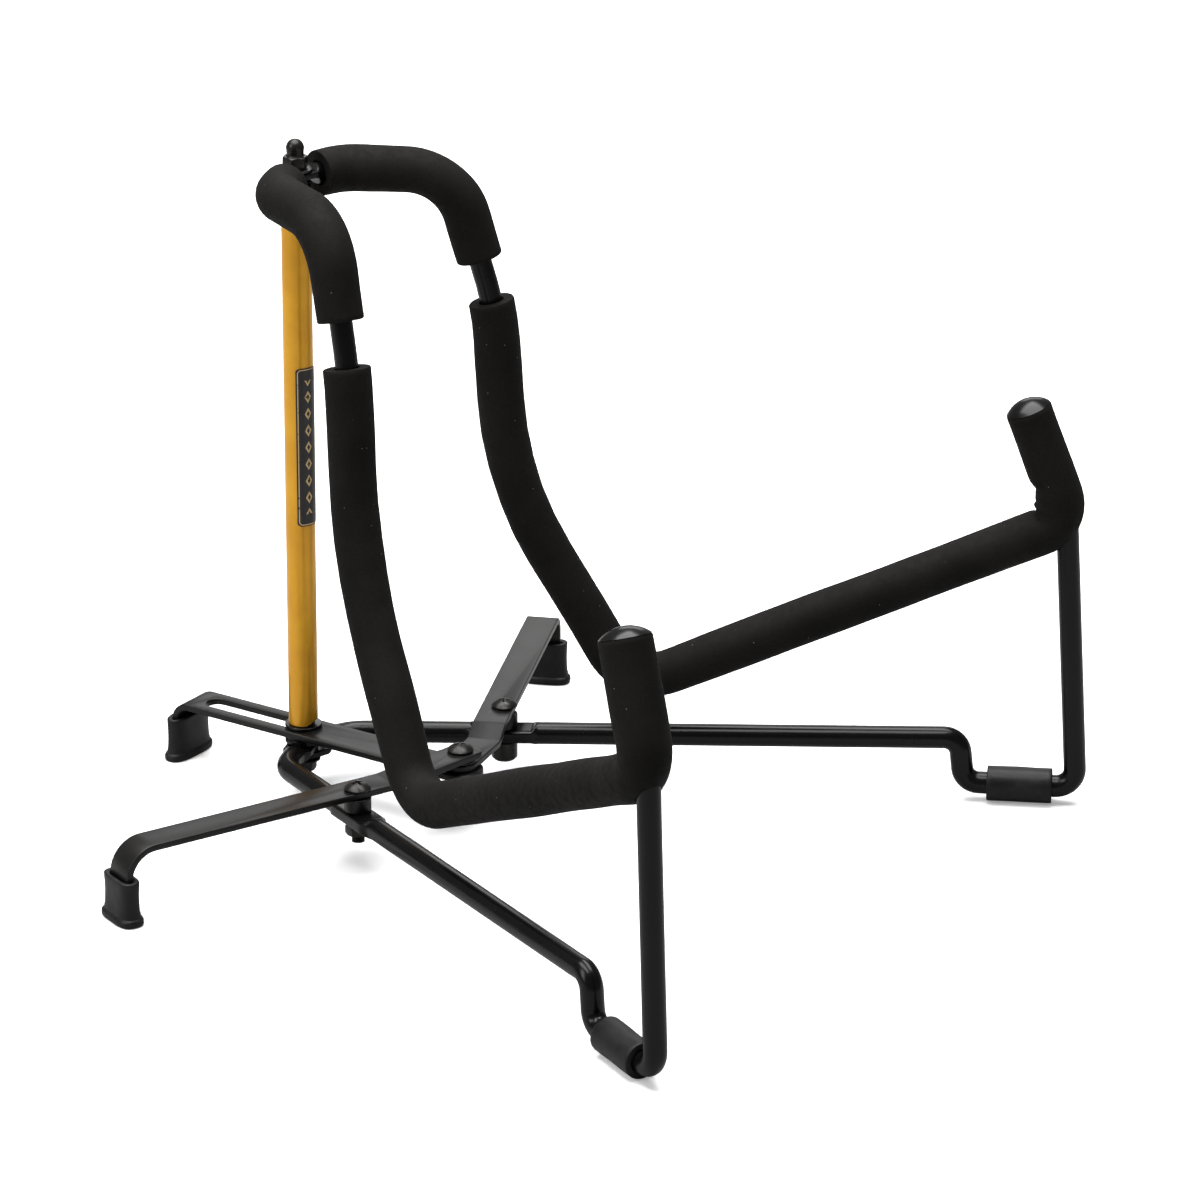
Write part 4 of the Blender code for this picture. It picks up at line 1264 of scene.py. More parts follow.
@dataclass
class CradleFrame:
    """One side frame: two bent rods, foam sleeves, a hook cap, a rubber foot and its brace pivot."""

    side: Side
    sizes: Sizes = field(default_factory=Sizes)
    elbow_radius: float = 0.018
    tab_width: float = 0.0135
    head_tab: float = 0.0068
    foot_tab: float = 0.0088
    tab_run: float = 0.0052
    arm_height: float = 0.2845
    foam_radius: float = 0.0103
    foam_bore: float = 0.0056
    foam_start: float = 0.0122
    foam_gap_top: float = 0.2455
    foam_gap_foot: float = 0.2260
    corners: tuple[Triple, ...] = (
        (0.0666, 0.2845, 0.027),
        (0.0844, 0.2216, 0.120),
        (0.0892, 0.1422, 0.190),
        (0.1454, 0.0469, 0.022),
        (0.3385, 0.1345, 0.014),
    )
    hook_tip: tuple[float, float] = (0.3188, 0.1858)
    foot_height: float = 0.008
    riser_foot: float = 0.2955
    riser_radius: float = 0.0075
    foot_corner: float = 0.3455
    foot_corner_radius: float = 0.0085
    front_lean: float = 0.0625
    front_top: float = 0.1329
    slit_drop: float = 0.030
    sleeve: tuple[float, float] = (0.3060, 0.3350)
    sleeve_radius: float = 0.008
    paddle_half: float = 0.0125
    paddle_thick: float = 0.0060
    paddle_width: float = 0.0130
    flatten_run: float = 0.0030
    left_flatten_run: float = 0.0060
    swell: float = 0.0
    left_swell: float = 0.0009
    screw_radius: float = 0.0029
    spacer_radius: float = 0.0059
    sleeve_nut_radius: float = 0.0058
    sleeve_nut_height: float = 0.0090
    rod_step: float = 0.004

    def __post_init__(self) -> None:
        """Lay the two rods' routes."""
        self.body = f"{self.side.label}_frame"
        self.order = 0 if self.side is Side.LEFT else 1
        if self.side is Side.LEFT:
            self.flatten_run, self.swell = self.left_flatten_run, self.left_swell
        self.cradle = Route(rounded([*self._start(self.arm_height), *self._cradle_corners()]))
        self.leg = Route(rounded([*self._start(self.sizes.leg_run_rear), *self._leg_corners()]))

    def _start(self, height: float) -> list[Corner]:
        """Return the first corners of a rod: its tab's end, and its bend into the frame's plane.

        Args:
            height: Height of the rod there.

        Returns:
            The corners.
        """
        elbow = self.sizes.place(self.side, self.sizes.elbow_reach, height)
        post = Vector((0, 0, height))
        back = (post - elbow).normalized() * (self.tab_width / 2)
        return [(post + back, 0.0), (elbow, self.elbow_radius)]

    def _cradle_corners(self) -> list[Corner]:
        """Return the corners of the cradle rod in the frame's plane.

        Returns:
            The corners, up to the tip of the hook.
        """
        place, side = self.sizes.place, self.side
        found = [(place(side, reach, height), radius) for reach, height, radius in self.corners]
        return [*found, (place(side, *self.hook_tip), 0.0)]

    def _front_reach(self, height: float) -> float:
        """Return how far along the frame the front rod stands at a height."""
        return self.foot_corner - self.front_lean * (height - self.foot_height)

    def _leg_corners(self) -> list[Corner]:
        """Return the corners of the leg rod in the frame's plane.

        Returns:
            The corners, up to the top of the front rod.
        """
        sizes = self.sizes
        return [
            (sizes.place(self.side, sizes.riser_top, sizes.leg_run_front), self.riser_radius),
            (sizes.place(self.side, self.riser_foot, self.foot_height), self.riser_radius),
            (sizes.place(self.side, self.foot_corner, self.foot_height), self.foot_corner_radius),
            (sizes.place(self.side, self._front_reach(self.front_top), self.front_top), 0.0),
        ]

    def _section(self, lift: float, tab: float, paddles: Sequence[tuple[float, float]]) -> Section:
        """Return the section of a rod with a flat round-ended tab and pressed paddles.

        Args:
            lift: How far the tab is set off the rod's axis.
            tab: Length of the flat past its nose.
            paddles: Start and end of each stretch pressed flat for a screw.

        Returns:
            The section, as a function of the length.
        """

        def section(length: float) -> tuple[float, float, float, float]:
            """Return the rod's section at a length.

            Args:
                length: Distance from the rod's end.

            Returns:
                Half width, half thickness, squareness and lift.
            """
            flat = 1 - smooth((length - self.tab_width / 2 - tab) / self.tab_run)
            width, thick, shift = self.tab_width / 2, self.sizes.tab_thick / 2, lift * flat
            for start, end in paddles:
                into = smooth((length - start) / self.flatten_run + 1)
                inside = min(into, smooth((end - length) / self.flatten_run + 1))
                if inside > flat:
                    flat, width, thick = inside, self.paddle_width / 2, self.paddle_thick / 2
            radius = self.sizes.rod_radius
            half_width = radius + (width - radius) * flat
            half_thick = radius + (thick - radius) * flat
            nose = self.tab_width / 2
            if length < nose:
                half_width = min(half_width, math.sqrt(max(nose**2 - (nose - length) ** 2, GAP**2)))
            return half_width, half_thick, 2 + 4.0 * flat, shift

        return section

    def build(self, shop: Workshop) -> None:
        """Add the pieces of the frame.

        Args:
            shop: Takes the pieces.
        """
        self._cradle_rod(shop)
        self._leg_rod(shop)
        self._foams(shop)
        self._cap(shop)
        self._sleeve(shop)
        self._pivot(shop)

    def _tab_lengths(self, tab: float) -> list[float]:
        """Return lengths where a rod's flat end changes its section.

        Args:
            tab: Length of the flat past its nose.

        Returns:
            The lengths.
        """
        nose = self.tab_width / 2
        turned_in = [nose * (1 - math.cos(math.radians(angle))) for angle in range(8, 91, 8)]
        return turned_in + [nose + tab + self.tab_run * share / 12 for share in range(13)]

    def _cradle_rod(self, shop: Workshop) -> None:
        """Add the rod that carries the instrument.

        Args:
            shop: Takes the pieces.
        """
        sizes = self.sizes
        lift = sizes.tab_height(self.order, sizes.upper_stack) - self.arm_height
        end = self.cradle.total - 0.0033
        extra = [*self._tab_lengths(self.head_tab), *self.cradle.lengths]
        lengths = self.cradle.sampled(0.0, end, self.rod_step, extra)
        rings = swept(self.cradle, lengths, self._section(lift, self.head_tab, ()))
        hole = pin(sizes.tie_radius + GAP, self.arm_height - 0.01, self.arm_height + 0.01)
        mesh = carve(loft(rings), hole)
        label = self.side.label
        shop.add(f"cradle_rod.{label}", mesh, Finish.ENAMEL, self.body, f"{label}_cradle_rod")

    def _leg_rod(self, shop: Workshop) -> None:
        """Add the rod that stands on the floor, pressed flat round its pivot screw.

        Args:
            shop: Takes the pieces.
        """
        sizes = self.sizes
        pivot = sizes.place(self.side, sizes.pivot_reach, 0.0)
        centre = self.leg.nearest(pivot)
        paddle = (centre - self.paddle_half, centre + self.paddle_half)
        lift = sizes.tab_height(1 - self.order, sizes.lower_stack) - sizes.leg_run_rear
        extra = self._tab_lengths(self.foot_tab) + list(self.leg.lengths)
        for share in range(9):
            extra += [paddle[0] - self.flatten_run * share / 8, paddle[1] + self.flatten_run * share / 8]
        lengths = self.leg.sampled(0.0, self.leg.total, self.rod_step, extra)
        rings = swept(self.leg, lengths, self._section(lift, self.foot_tab, [paddle]))
        low, high = sizes.leg_run_rear - 0.012, sizes.leg_run_rear + 0.012
        mesh = carve(loft(rings), pin(sizes.tie_radius + GAP, low, high))
        mesh = carve(mesh, moved(pin(self.screw_radius + GAP, low, high), pivot.x, pivot.y))
        label = self.side.label
        shop.add(f"leg_rod.{label}", mesh, Finish.ENAMEL, self.body, f"{label}_leg_rod")

    def _foams(self, shop: Workshop) -> None:
        """Add the two foam sleeves; the long one is slit where the front rod leaves it.

        Args:
            shop: Takes the pieces.
        """
        route = self.cradle
        start = self.tab_width / 2 + self.foam_start
        gap_top = route.length_at_height(self.foam_gap_top)
        gap_foot = route.length_at_height(self.foam_gap_foot)
        knee = route.nearest(self.sizes.place(self.side, self.corners[4][0], 0.0))
        seed = 3.1 if self.side is Side.LEFT else 8.7
        if self.side is Side.LEFT:
            folds = ((knee - 0.006, 0.0006, 0.0022), (knee + 0.007, 0.0008, 0.0022))
        else:
            folds = ((knee - 0.012, 0.0017, 0.0024), (knee, -0.0016, 0.0055), (knee + 0.012, 0.0017, 0.0024))
        upper = FoamCut("upper_foam", start, gap_top, seed)
        long = FoamCut("long_foam", gap_foot, route.total, seed + 20.0, folds, knee - 0.035, self.swell)
        for cut in (upper, long):
            mesh = self._foam_mesh(cut)
            if cut is long:
                mesh = carve(mesh, self._slit())
            label = self.side.label
            node = f"{label}_{cut.name}"
            piece = shop.add(f"{cut.name}.{label}", mesh, Finish.FOAM, self.body, node, 50.0)

    def _slit(self) -> bpy.types.Mesh:
        """Return the cutter that opens the long foam round the front rod.

        Returns:
            The cutter.
        """
        foot, run = self.front_top - self.slit_drop, self.slit_drop + GAP
        heights = [foot + run * index / 6 for index in range(7)]
        places = [self.sizes.place(self.side, self._front_reach(height), height) for height in heights]
        route = Route(places)
        radius = self.sizes.rod_radius + GAP
        return loft(swept(route, route.lengths, lambda _: (radius, radius, 2.0, 0.0), 40))

    def _foam_mesh(self, cut: FoamCut) -> bpy.types.Mesh:
        """Return one foam sleeve, slightly uneven, with soft cut edges and folded inner bends.

        Args:
            cut: The sleeve.

        Returns:
            Its mesh.
        """
        route = self.cradle
        edge = 0.0006
        step = 0.0022
        lengths = route.sampled(cut.start, cut.end, step, [cut.start + edge, cut.end - edge])
        inside = [self._inward(length) for length in lengths]
        outer, inner = [], []
        for length, bend, (place, across, lift) in zip(lengths, inside, route.frames(lengths)):
            outside, bore = [], []
            trim = edge * 0.6 if min(length - cut.start, cut.end - length) < edge / 2 else 0.0
            trim -= cut.swell * smooth((length - cut.swell_start) / 0.020)
            for side in range(ROUND_SIDES):
                angle = math.tau * side / ROUND_SIDES
                direction = across * math.cos(angle) + lift * math.sin(angle)
                point = place + direction * self.foam_radius
                swell = 0.00055 * noise.noise(point * 26.0 + Vector((cut.seed, 0, 0)))
                swell += 0.00006 * noise.noise(point * 90.0 + Vector((0, cut.seed, 0)))
                facing = max(direction.dot(bend), 0.0) ** 1.5
                for middle, depth, width in cut.folds:
                    swell -= depth * facing * math.exp(-(((length - middle) / width) ** 2))
                outside.append(place + direction * (self.foam_radius + swell - trim))
                bore.append(place + direction * self.foam_bore)
            outer.append(outside)
            inner.append(bore)
        return loft([*outer, *inner[::-1]], closed=True)

    def _inward(self, length: float) -> Vector:
        """Return the direction from the route towards the inside of its nearest bend.

        Args:
            length: Distance along the cradle rod.

        Returns:
            The direction, or nothing where the rod is straight.
        """
        probe = 0.012
        before, here, after = (self.cradle.at(length + shift) for shift in (-probe, 0.0, probe))
        turn = before + after - here * 2
        return turn.normalized() if turn.length > 1e-5 else Vector((0, 0, 0))

    def _cap(self, shop: Workshop) -> None:
        """Add the glossy domed cap in the tip of the hook.

        Args:
            shop: Takes the pieces.
        """
        rim, dome, stem = self.foam_radius + self.swell - GAP, 0.0044, 0.0040
        ball = (rim**2 + dome**2) / (2 * dome)
        profile = [(0.0, GAP + dome)]
        for index in range(1, 13):
            reach = rim * index / 12
            profile.append((reach, GAP + dome - ball + math.sqrt(ball**2 - reach**2)))
        profile += [(rim - 0.0003, GAP - 0.0001), (stem, GAP), (stem, GAP - 0.003), (0.0, GAP - 0.003)]
        mesh = turned(profile, 0.0, 64)
        tip = self.cradle.points[-1]
        along = (tip - self.cradle.points[-2]).normalized()
        mesh.transform(Matrix.Translation(tip) @ along.to_track_quat("Z", "Y").to_matrix().to_4x4())
        label = self.side.label
        shop.add(f"hook_cap.{label}", mesh, Finish.PLASTIC, self.body, f"{label}_hook_cap")

    def _sleeve(self, shop: Workshop) -> None:
        """Add the rubber sleeve of the front foot, a little uneven and square at its ends.

        Args:
            shop: Takes the pieces.
        """
        place = self.sizes.place(self.side, self.sleeve[0], self.foot_height)
        along = (self.sizes.place(self.side, self.sleeve[1], self.foot_height) - place).normalized()
        length = self.sleeve[1] - self.sleeve[0]
        count, edge = 16, 0.0004
        stops = [0.0, edge * 0.4, edge, *(length * index / count for index in range(1, count))]
        stops += [length - edge, length - edge * 0.4, length]
        trims = {0: edge, 1: edge * 0.3, len(stops) - 2: edge * 0.3, len(stops) - 1: edge}
        across = along.cross(UP)
        outer, inner = [], []
        for index, stop in enumerate(stops):
            centre = place + along * stop
            ring, bore = [], []
            for side in range(ROUND_SIDES):
                angle = math.tau * side / ROUND_SIDES
                direction = across * math.cos(angle) + UP * math.sin(angle)
                swell = 0.00018 * (noise.noise((centre + direction * 0.008) * 90.0) - 0.6)
                radius = self.sleeve_radius + swell - trims.get(index, 0.0)
                point = centre + direction * radius
                point.z = max(point.z, 0.0)
                ring.append(point)
                bore.append(centre + direction * (self.sizes.rod_radius + GAP))
            outer.append(ring)
            inner.append(bore)
        label = self.side.label
        mesh = loft([*outer, *inner[::-1]], closed=True)
        shop.add(f"foot_sleeve.{label}", mesh, Finish.RUBBER, self.body, f"{label}_foot_sleeve")

    def _pivot(self, shop: Workshop) -> None:
        """Add the spacer, nut and screw that the brace turns on.

        Args:
            shop: Takes the pieces.
        """
        sizes, label = self.sizes, self.side.label
        place = sizes.place(self.side, sizes.pivot_reach, 0.0)
        share = (sizes.pivot_reach - sizes.elbow_reach) / (sizes.riser_top - sizes.elbow_reach)
        run = sizes.leg_run_rear + (sizes.leg_run_front - sizes.leg_run_rear) * share
        top, foot = run + self.paddle_thick / 2, run - self.paddle_thick / 2
        radius, blunt = self.screw_radius, 0.0004
        seat = sizes.brace_top - sizes.bar_thick - GAP
        spacer = turned(ring_profile(radius + GAP, self.spacer_radius, top + GAP, seat), blunt)
        spacer = moved(spacer, place.x, place.y)
        shop.add(f"pivot_spacer.{label}", spacer, Finish.SATIN, self.body, f"{label}_pivot_spacer")
        head = foot - GAP
        if self.side is Side.LEFT:
            nut = prism(sizes.nut_across, head - sizes.nut_height, head, 0.0009, math.radians(8.0))
            end = head - sizes.nut_height - 0.0035
            bore_foot = head - sizes.nut_height - GAP
        else:
            low, wide = head - self.sleeve_nut_height, self.sleeve_nut_radius
            side = [(wide, head), (wide, low + 0.0012), (wide - 0.0012, low)]
            nut = turned([(0.0, head), *side, (0.0, low)], blunt)
            end = head - 0.0070
            bore_foot = end - GAP
        nut = moved(carve(nut, pin(radius + GAP, bore_foot, head + GAP)), place.x, place.y)
        shop.add(f"pivot_nut.{label}", nut, Finish.OXIDE, self.body, f"{label}_pivot_nut")
        screw = Screw(radius, turn=math.radians(24.0 * self.side.value)).mesh(sizes.brace_top + GAP, end)
        screw = moved(screw, place.x, place.y)
        shop.add(f"pivot_screw.{label}", screw, Finish.OXIDE, self.body, f"{label}_pivot_screw")


@dataclass
class Screw:
    """A round-headed screw with a cross recess and a threaded end."""

    radius: float
    head_radius: float = 0.0059
    head_height: float = 0.0032
    rim: float = 0.0007
    recess_length: float = 0.0056
    recess_width: float = 0.0012
    recess_depth: float = 0.0018
    turn: float = 0.0
    pitch: float = 0.0009

    def mesh(self, seat: float, foot: float) -> bpy.types.Mesh:
        """Return the screw.

        Args:
            seat: Height of the underside of its head.
            foot: Height of its end.

        Returns:
            The mesh, about its own axis.
        """
        crown = self.head_height - self.rim
        profile = [(0.0, seat + self.head_height)]
        ball = (self.head_radius**2 + crown**2) / (2 * crown)
        for index in range(1, 12):
            reach = self.head_radius * index / 12
            profile.append((reach, seat + self.head_height - ball + math.sqrt(ball**2 - reach**2)))
        profile += [(self.head_radius, seat + self.rim), (self.head_radius - 0.0003, seat)]
        profile.append((self.radius, seat))
        height = foot + 0.0045
        profile.append((self.radius, height))
        while height > foot + self.pitch:
            profile += [(self.radius - 0.0003, height - self.pitch / 2), (self.radius, height - self.pitch)]
            height -= self.pitch
        profile += [(self.radius * 0.82, foot), (0.0, foot)]
        blank = turned(profile)
        for quarter in (0.0, math.pi / 2):
            blank = carve(blank, self._wing(seat + self.head_height, self.turn + quarter))
        return blank

    def _wing(self, top: float, turn: float) -> bpy.types.Mesh:
        """Return the cutter of one arm of the recess, narrower at its foot.

        Args:
            top: Height of the crown.
            turn: Heading of the arm.

        Returns:
            The cutter.
        """
        rings = []
        for height, share in ((top + 0.001, 1.0), (top - 0.0004, 0.95), (top - self.recess_depth, 0.45)):
            x, y = self.recess_length / 2 * share, self.recess_width / 2 * (0.4 + 0.6 * share)
            corners = ((-x, -y), (x, -y), (x, y), (-x, y))
            rings.append([Vector((*corner, height)) for corner in corners])
        mesh = loft(rings)
        mesh.transform(Matrix.Rotation(turn, 4, "Z"))
        return mesh


@dataclass
class Bar:
    """One flat bar of the linkage: its plan, its side outline, its holes and its toe."""

    name: str
    node: str
    body: str
    corners: list[Vector]
    width: float
    stops: list[tuple[float, float]]
    toe_radius: float
    holes: list[list[Vector]]
    nose_radius: float
    thick: float = 0.003
    toe_foot: float = 0.006
    edge: float = 0.00045

    def build(self, shop: Workshop) -> None:
        """Add the bar.

        Args:
            shop: Takes the pieces.
        """
        along = (self.corners[-1] - self.corners[-2]).normalized()
        tip = (self.corners[-1] - self.corners[0]).dot(along)
        turn = Matrix.Rotation(math.atan2(along.y, along.x), 4, "Z")
        start = Matrix.Translation((*(self.corners[-1] - along * tip), 0.0))
        upright = Matrix.Rotation(math.pi / 2, 4, "X")
        blank = plate([self._profile(tip)], self.width * 3, start @ turn @ upright)
        height = self.stops[-1][1]
        middle = Matrix.Translation((0, 0, height))
        end = self.corners[-1] + along * self.thick * 2
        outline = self._outline([*self.corners[:-1], end])
        mesh = carve(blank, plate([outline], height * 2.4, middle), "INTERSECT")
        for hole in self.holes:
            mesh = carve(mesh, plate([hole], height * 2.2, middle))
        shop.add(self.name, soften(mesh, self.edge), Finish.SATIN, self.body, self.node, 34.0)

    def _outline(self, corners: list[Vector]) -> list[Vector]:
        """Return the plan outline: a start with round corners, even sides and a square end.

        Args:
            corners: The path of its middle line.

        Returns:
            The outline.
        """
        half = self.width / 2
        sides: dict[int, list[Vector]] = {1: [], -1: []}
        for sign, found in sides.items():
            for index, corner in enumerate(corners):
                before, after = corners[max(index - 1, 0)], corners[min(index + 1, len(corners) - 1)]
                inward = (corner - before).normalized() if index else (after - corner).normalized()
                outward = (after - corner).normalized() if index < len(corners) - 1 else inward
                normal = Vector((-(inward + outward).y, (inward + outward).x)).normalized()
                spread = half / normal.dot(Vector((-inward.y, inward.x)))
                found.append(corner + normal * spread * sign)
        along = (corners[1] - corners[0]).normalized()
        heading = math.atan2(along.y, along.x)
        quarter, blunt = math.pi / 2, self.nose_radius
        forward, sideways = along * (half - blunt), Vector((-along.y, along.x)) * (half - blunt)
        back = heading + math.pi
        nose = arc(corners[0] - forward + sideways, blunt, back - quarter, back)
        nose += arc(corners[0] - forward - sideways, blunt, back, back + quarter)
        return nose + sides[-1][1:] + sides[1][:0:-1]

    def _profile(self, tip: float) -> list[Vector]:
        """Return the side outline: level runs, a step, and the bend down to the toe.

        Args:
            tip: Distance from the path's start to the toe.

        Returns:
            The outline.
        """
        half = self.thick / 2
        line = [Vector((distance, 0, top - half)) for distance, top in self.stops]
        corners = [(line[0], 0.0), *((point, self.thick * 1.5) for point in line[1:])]
        corners += [(Vector((tip, 0, line[-1].z)), self.toe_radius), (Vector((tip, 0, self.toe_foot)), 0.0)]
        middle = rounded(corners)
        upper, lower = [], []
        for index, point in enumerate(middle):
            along = (middle[min(index + 1, len(middle) - 1)] - middle[max(index - 1, 0)]).normalized()
            normal = Vector((-along.z, 0, along.x)) * half
            upper.append((point + normal).xz)
            lower.append((point - normal).xz)
        return upper + lower[::-1]


@dataclass
class Boot:
    """A rubber boot on the toe of a bar: a soft block with a lip round its foot and an open socket."""

    name: str
    node: str
    body: str
    place: Vector
    heading: float
    width: float
    roundness: tuple[float, float] = (0.55, 0.75)
    height: float = 0.0200
    wall: float = 0.0024
    extra: float = 0.0010
    flare: float = 0.0013
    lip: float = 0.0035
    thick: float = 0.003

    def build(self, shop: Workshop) -> None:
        """Add the boot.

        Args:
            shop: Takes the pieces.
        """
        long, short = self.width / 2 + self.extra + self.wall, self.thick / 2 + self.extra + self.wall
        foot = ((0.0, 0.62), (0.00015, 0.78), (0.0005, 0.93), (0.0011, 1.0))
        levels = [(height, self.flare * share) for height, share in foot]
        roll = ((0.62, 0.98), (0.80, 0.80), (0.92, 0.45), (1.02, 0.16))
        levels += [(self.lip * rise, self.flare * share) for rise, share in roll]
        levels.append((self.lip * 1.25, 0.0002))
        for share in (0.3, 0.4, 0.5, 0.6, 0.7, 0.8, 0.9):
            levels.append((self.height * share, -0.00035 * math.sin(math.pi * (share - 0.2) / 0.8)))
        top = self.height
        levels += [(top - 0.0007, -0.0001), (top - 0.0003, -0.00015), (top, -0.0005)]
        levels.append((top, -self.wall + 0.0006))
        levels += [(top - 0.0004, -self.wall), (0.0057, -self.wall)]
        across = Vector((-math.sin(self.heading), math.cos(self.heading), 0.0))
        along = Vector((math.cos(self.heading), math.sin(self.heading), 0.0))
        base = Vector((*self.place, 0.0))
        sides = 72
        rings = []
        for height, grow in levels:
            ring = []
            for step in range(sides):
                angle = math.tau * step / sides
                cosine, sine = math.cos(angle), math.sin(angle)
                x = math.copysign(abs(cosine) ** self.roundness[0], cosine) * (long + grow)
                y = math.copysign(abs(sine) ** self.roundness[1], sine) * (short + grow)
                ring.append(base + across * x + along * y + UP * height)
            rings.append(ring)
        shop.add(self.name, loft(rings), Finish.RUBBER, self.body, self.node, 45.0)


@dataclass
class Linkage:
    """The folding linkage: two braces that cross, the slotted centre bar, their screws and rubber boots."""

    sizes: Sizes = field(default_factory=Sizes)
    kink: tuple[float, float] = (0.02524, 0.080465)
    tip: tuple[float, float] = (0.16204, 0.021865)
    step_length: float = 0.0125
    step_start: dict[Side, float] = field(default_factory=lambda: {Side.LEFT: 0.0300, Side.RIGHT: 0.0265})
    toe_radius: dict[Side, float] = field(default_factory=lambda: {Side.LEFT: 0.0135, Side.RIGHT: 0.007})
    left_nose: float = 0.0026
    nose_flat: float = 0.0002
    slide_toe: float = 0.007
    slide_tip: float = 0.0650
    slot_width: float = 0.0098
    slot: tuple[float, float] = (-0.0055, 0.0530)
    pivot_hole: float = 0.0033
    cross_radius: float = 0.0019

    def build(self, shop: Workshop) -> None:
        """Add the bars, boots and the cross pivot.

        Args:
            shop: Takes the pieces.
        """
        for side in Side:
            self._brace(shop, side)
        self._slide(shop)
        self._cross(shop)

    @property
    def _levels(self) -> tuple[float, float]:
        """Return the top heights of the lower and the upper brace at the cross pivot."""
        lower = self.sizes.slide_top + GAP + self.sizes.bar_thick
        return lower, lower + self.sizes.washer + 2 * GAP + self.sizes.bar_thick

    def _brace(self, shop: Workshop, side: Side) -> None:
        """Add one brace and its boot.

        Args:
            shop: Takes the pieces.
            side: Which brace.
        """
        sizes = self.sizes
        points = ((0.0, sizes.cross_reach), self.kink, self.tip)
        corners = [Vector((side.value * x, -y)) for x, y in points]
        along = (corners[2] - corners[1]).normalized()
        reach = (corners[2] - corners[0]).dot(along)
        near = self._levels[1 if side is Side.LEFT else 0]
        step = self.step_start[side]
        stops = [(-sizes.brace_width, near), (step, near), (step + self.step_length, sizes.brace_top)]
        stops.append((reach - 0.03, sizes.brace_top))
        cross = Vector((0, -sizes.cross_reach))
        pivot = sizes.place(side, sizes.pivot_reach, 0.0).xy
        holes = [round_slot(pivot, 0.0, self.pivot_hole)]
        if side is Side.LEFT:
            holes.append(round_slot(cross, 0.0, self.cross_radius + GAP))
        else:
            holes.append(round_slot(cross + Vector((0.0016, -0.0005)), 0.0031, 0.0029, math.radians(-22.0)))
        label, width = side.label, sizes.brace_width
        body = f"{label}_brace"
        toe = self.toe_radius[side]
        nose = self.left_nose if side is Side.LEFT else width / 2 - self.nose_flat
        bar = Bar(f"brace_bar.{label}", f"{label}_brace_bar", body, corners, width, stops, toe, holes, nose)
        bar.build(shop)
        heading = math.atan2(along.y, along.x)
        Boot(f"rear_boot.{label}", f"{label}_rear_boot", body, corners[2], heading, width).build(shop)

    def _slide(self, shop: Workshop) -> None:
        """Add the slotted centre bar and its boot.

        Args:
            shop: Takes the pieces.
        """
        sizes = self.sizes
        cross, tip = Vector((0, -sizes.cross_reach)), Vector((0, self.slide_tip))
        middle = (self.slot[0] + self.slot[1]) / 2
        half = (self.slot[1] - self.slot[0] - self.slot_width) / 2
        holes = [round_slot(Vector((0, middle)), half, self.slot_width / 2, math.pi / 2)]
        holes.append(round_slot(cross, 0.0, self.cross_radius + GAP))
        reach = (tip - cross).length
        width = sizes.slide_width
        nose = width / 2 - self.nose_flat
        stops = [(-sizes.slide_width, sizes.slide_top), (reach - 0.02, sizes.slide_top)]
        corners, toe = [cross, tip], self.slide_toe
        Bar("slide_bar.centre", "slide_bar", "slide", corners, width, stops, toe, holes, nose).build(shop)
        boot = Boot("rear_boot.centre", "centre_rear_boot", "slide", tip, math.pi / 2, width, (0.70, 0.80))
        boot.build(shop)

    def _cross(self, shop: Workshop) -> None:
        """Add the washer, screw and nut of the cross pivot.

        Args:
            shop: Takes the pieces.
        """
        sizes = self.sizes
        lower, upper = self._levels
        y = -sizes.cross_reach
        bore = self.cross_radius + GAP
        outer, seat = sizes.brace_width / 2 - GAP, lower + GAP
        washer = turned(ring_profile(bore, outer, seat, seat + sizes.washer), 0.0003)
        shop.add("cross.washer", moved(washer, 0, y), Finish.OXIDE, "left_brace", "cross_washer")
        head = sizes.slide_top - sizes.bar_thick - GAP
        foot = head - sizes.nut_height
        screw = Screw(self.cross_radius, turn=math.radians(38.0)).mesh(upper + GAP, foot - 0.002)
        shop.add("cross.screw", moved(screw, 0, y), Finish.OXIDE, "left_brace", "cross_screw")
        nut = prism(sizes.nut_across, foot, head, 0.0009, math.radians(15.0))
        nut = moved(carve(nut, pin(bore, foot - GAP, head + GAP)), 0, y)
        shop.add("cross.nut", nut, Finish.OXIDE, "left_brace", "cross_nut")


# ---------------------------------------------------------------- studio


@dataclass(frozen=True)
class Softbox:
    """One area light that looks at the middle of the stand."""

    name: str
    place: Triple
    size: tuple[float, float]
    power: float

    def build(self, target: Vector) -> None:
        """Add the light, turned to the target.

        Args:
            target: The place.
        """
        light = bpy.data.lights.new(self.name, "AREA")
        light.shape = "RECTANGLE"
        light.size, light.size_y = self.size
        light.energy = self.power
        lamp = bpy.data.objects.new(self.name, light)
        bpy.context.scene.collection.objects.link(lamp)
        lamp.location = self.place
        lamp.rotation_euler = (target - Vector(self.place)).to_track_quat("-Z", "Y").to_euler()


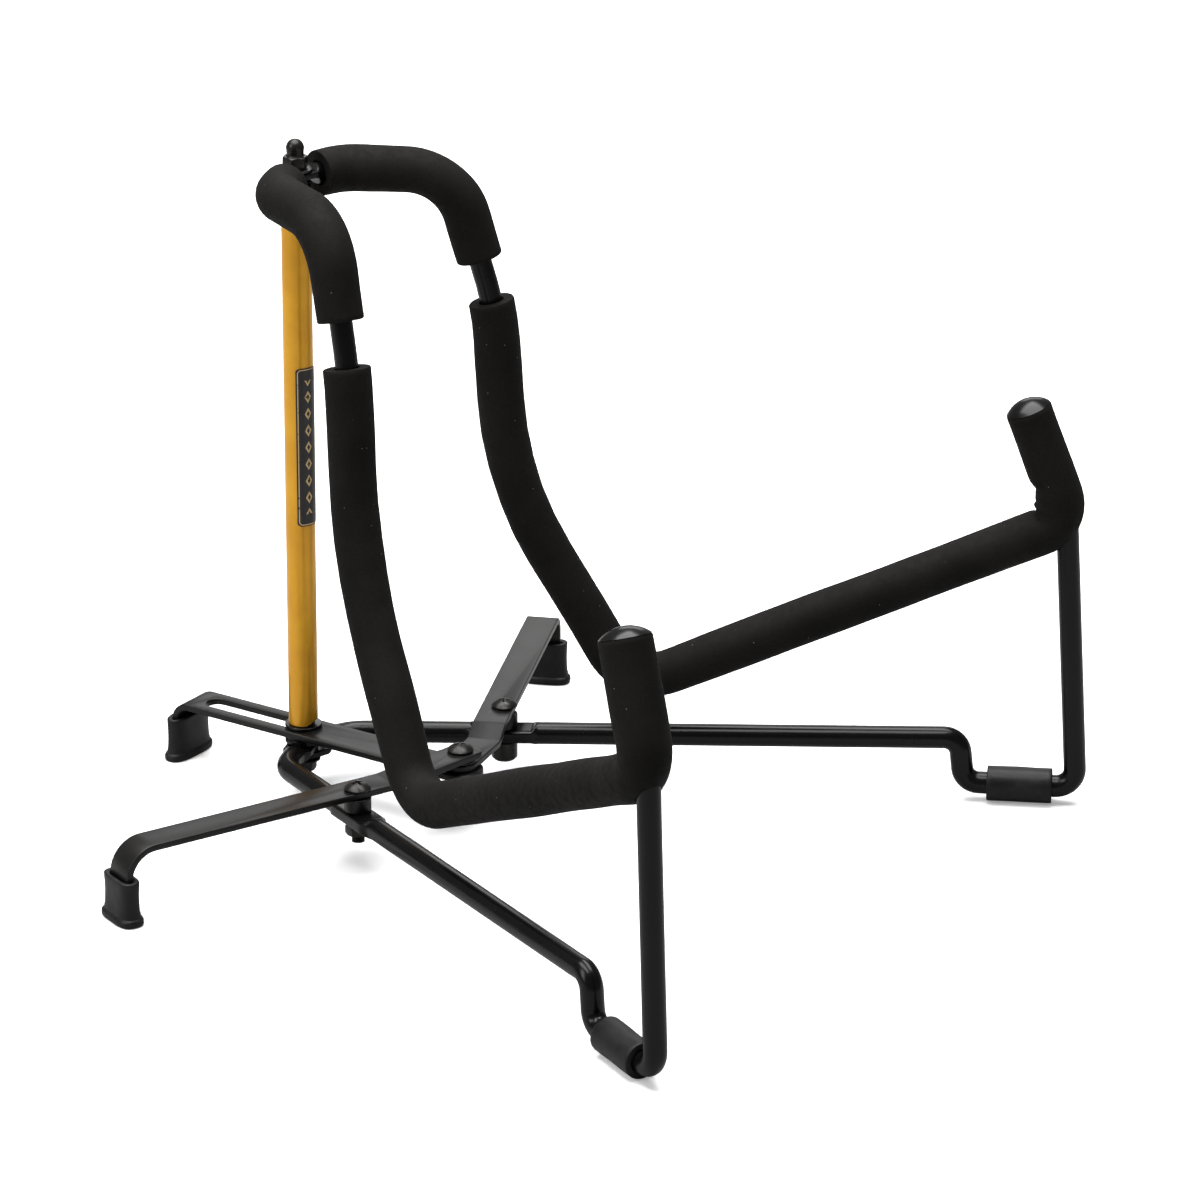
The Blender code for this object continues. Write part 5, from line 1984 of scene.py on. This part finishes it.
@dataclass
class Studio:
    """Camera, soft lights, pale floor and white surroundings."""

    eye: Triple = (-1.93841, -1.30654, 1.03177)
    target: Triple = (0.05234, -0.00792, 0.09876)
    lens: float = 174.01
    roll: float = math.radians(0.306)
    surround: float = 0.22
    floor_size: float = 14.0
    lights: tuple[Softbox, ...] = (
        Softbox("overhead_softbox", (0.1, 0.3, 2.4), (2.4, 2.4), 165.0),
        Softbox("left_softbox", (-2.2, 1.2, 1.6), (1.0, 1.8), 36.0),
        Softbox("rear_softbox", (2.9, 1.7, 1.35), (1.5, 0.9), 9.0),
    )

    def build(self) -> None:
        """Add everything that isn't the stand."""
        self._camera()
        self._world()
        self._floor()
        for light in self.lights:
            light.build(Vector((0.0, 0.0, 0.12)))

    def _camera(self) -> None:
        """Add the camera, with a long lens and a very slight roll."""
        data = bpy.data.cameras.new("camera")
        data.lens = self.lens
        data.clip_end = 50.0
        camera = bpy.data.objects.new("camera", data)
        bpy.context.scene.collection.objects.link(camera)
        eye = Vector(self.eye)
        ahead = (Vector(self.target) - eye).normalized()
        right = ahead.cross(UP).normalized()
        top = right.cross(ahead)
        tilted = right * math.cos(self.roll) + top * math.sin(self.roll)
        above = tilted.cross(ahead)
        axes = Matrix((tilted, above, -ahead)).transposed().to_4x4()
        camera.matrix_world = Matrix.Translation(eye) @ axes
        bpy.context.scene.camera = camera

    def _world(self) -> None:
        """Surround the stand with even white light, pure white where the camera sees it."""
        world = bpy.data.worlds.new("studio")
        world.use_nodes = True
        tree = world.node_tree
        background = tree.nodes["Background"]
        background.inputs["Color"].default_value = (1.0, 1.0, 1.0, 1.0)
        background.inputs["Strength"].default_value = self.surround
        backdrop = tree.nodes.new("ShaderNodeBackground")
        backdrop.inputs["Color"].default_value = (1.0, 1.0, 1.0, 1.0)
        backdrop.inputs["Strength"].default_value = 1.05
        rays = tree.nodes.new("ShaderNodeLightPath")
        mix = tree.nodes.new("ShaderNodeMixShader")
        tree.links.new(rays.outputs["Is Camera Ray"], mix.inputs[0])
        tree.links.new(background.outputs[0], mix.inputs[1])
        tree.links.new(backdrop.outputs[0], mix.inputs[2])
        tree.links.new(mix.outputs[0], tree.nodes["World Output"].inputs["Surface"])
        bpy.context.scene.world = world
        bpy.context.scene.view_settings.view_transform = "Standard"

    def _floor(self) -> None:
        """Add the pale floor."""
        work = bmesh.new()
        bmesh.ops.create_grid(work, x_segments=8, y_segments=8, size=self.floor_size / 2)
        mesh = bpy.data.meshes.new("floor")
        work.to_mesh(mesh)
        work.free()
        mesh.materials.append(Floor().build("pale_floor").material)
        floor = bpy.data.objects.new("floor", mesh)
        bpy.context.scene.collection.objects.link(floor)
        floor.location.z = -0.0002


def main() -> None:
    """Build the studio and the stand."""
    logging.basicConfig(level=logging.INFO, format="%(name)s: %(message)s")
    Studio().build()
    shop = Workshop()
    Post().build(shop)
    for side in Side:
        CradleFrame(side).build(shop)
    Linkage().build(shop)
    LOG.info("%d pieces", shop.count)


if __name__ == "__main__":
    main()
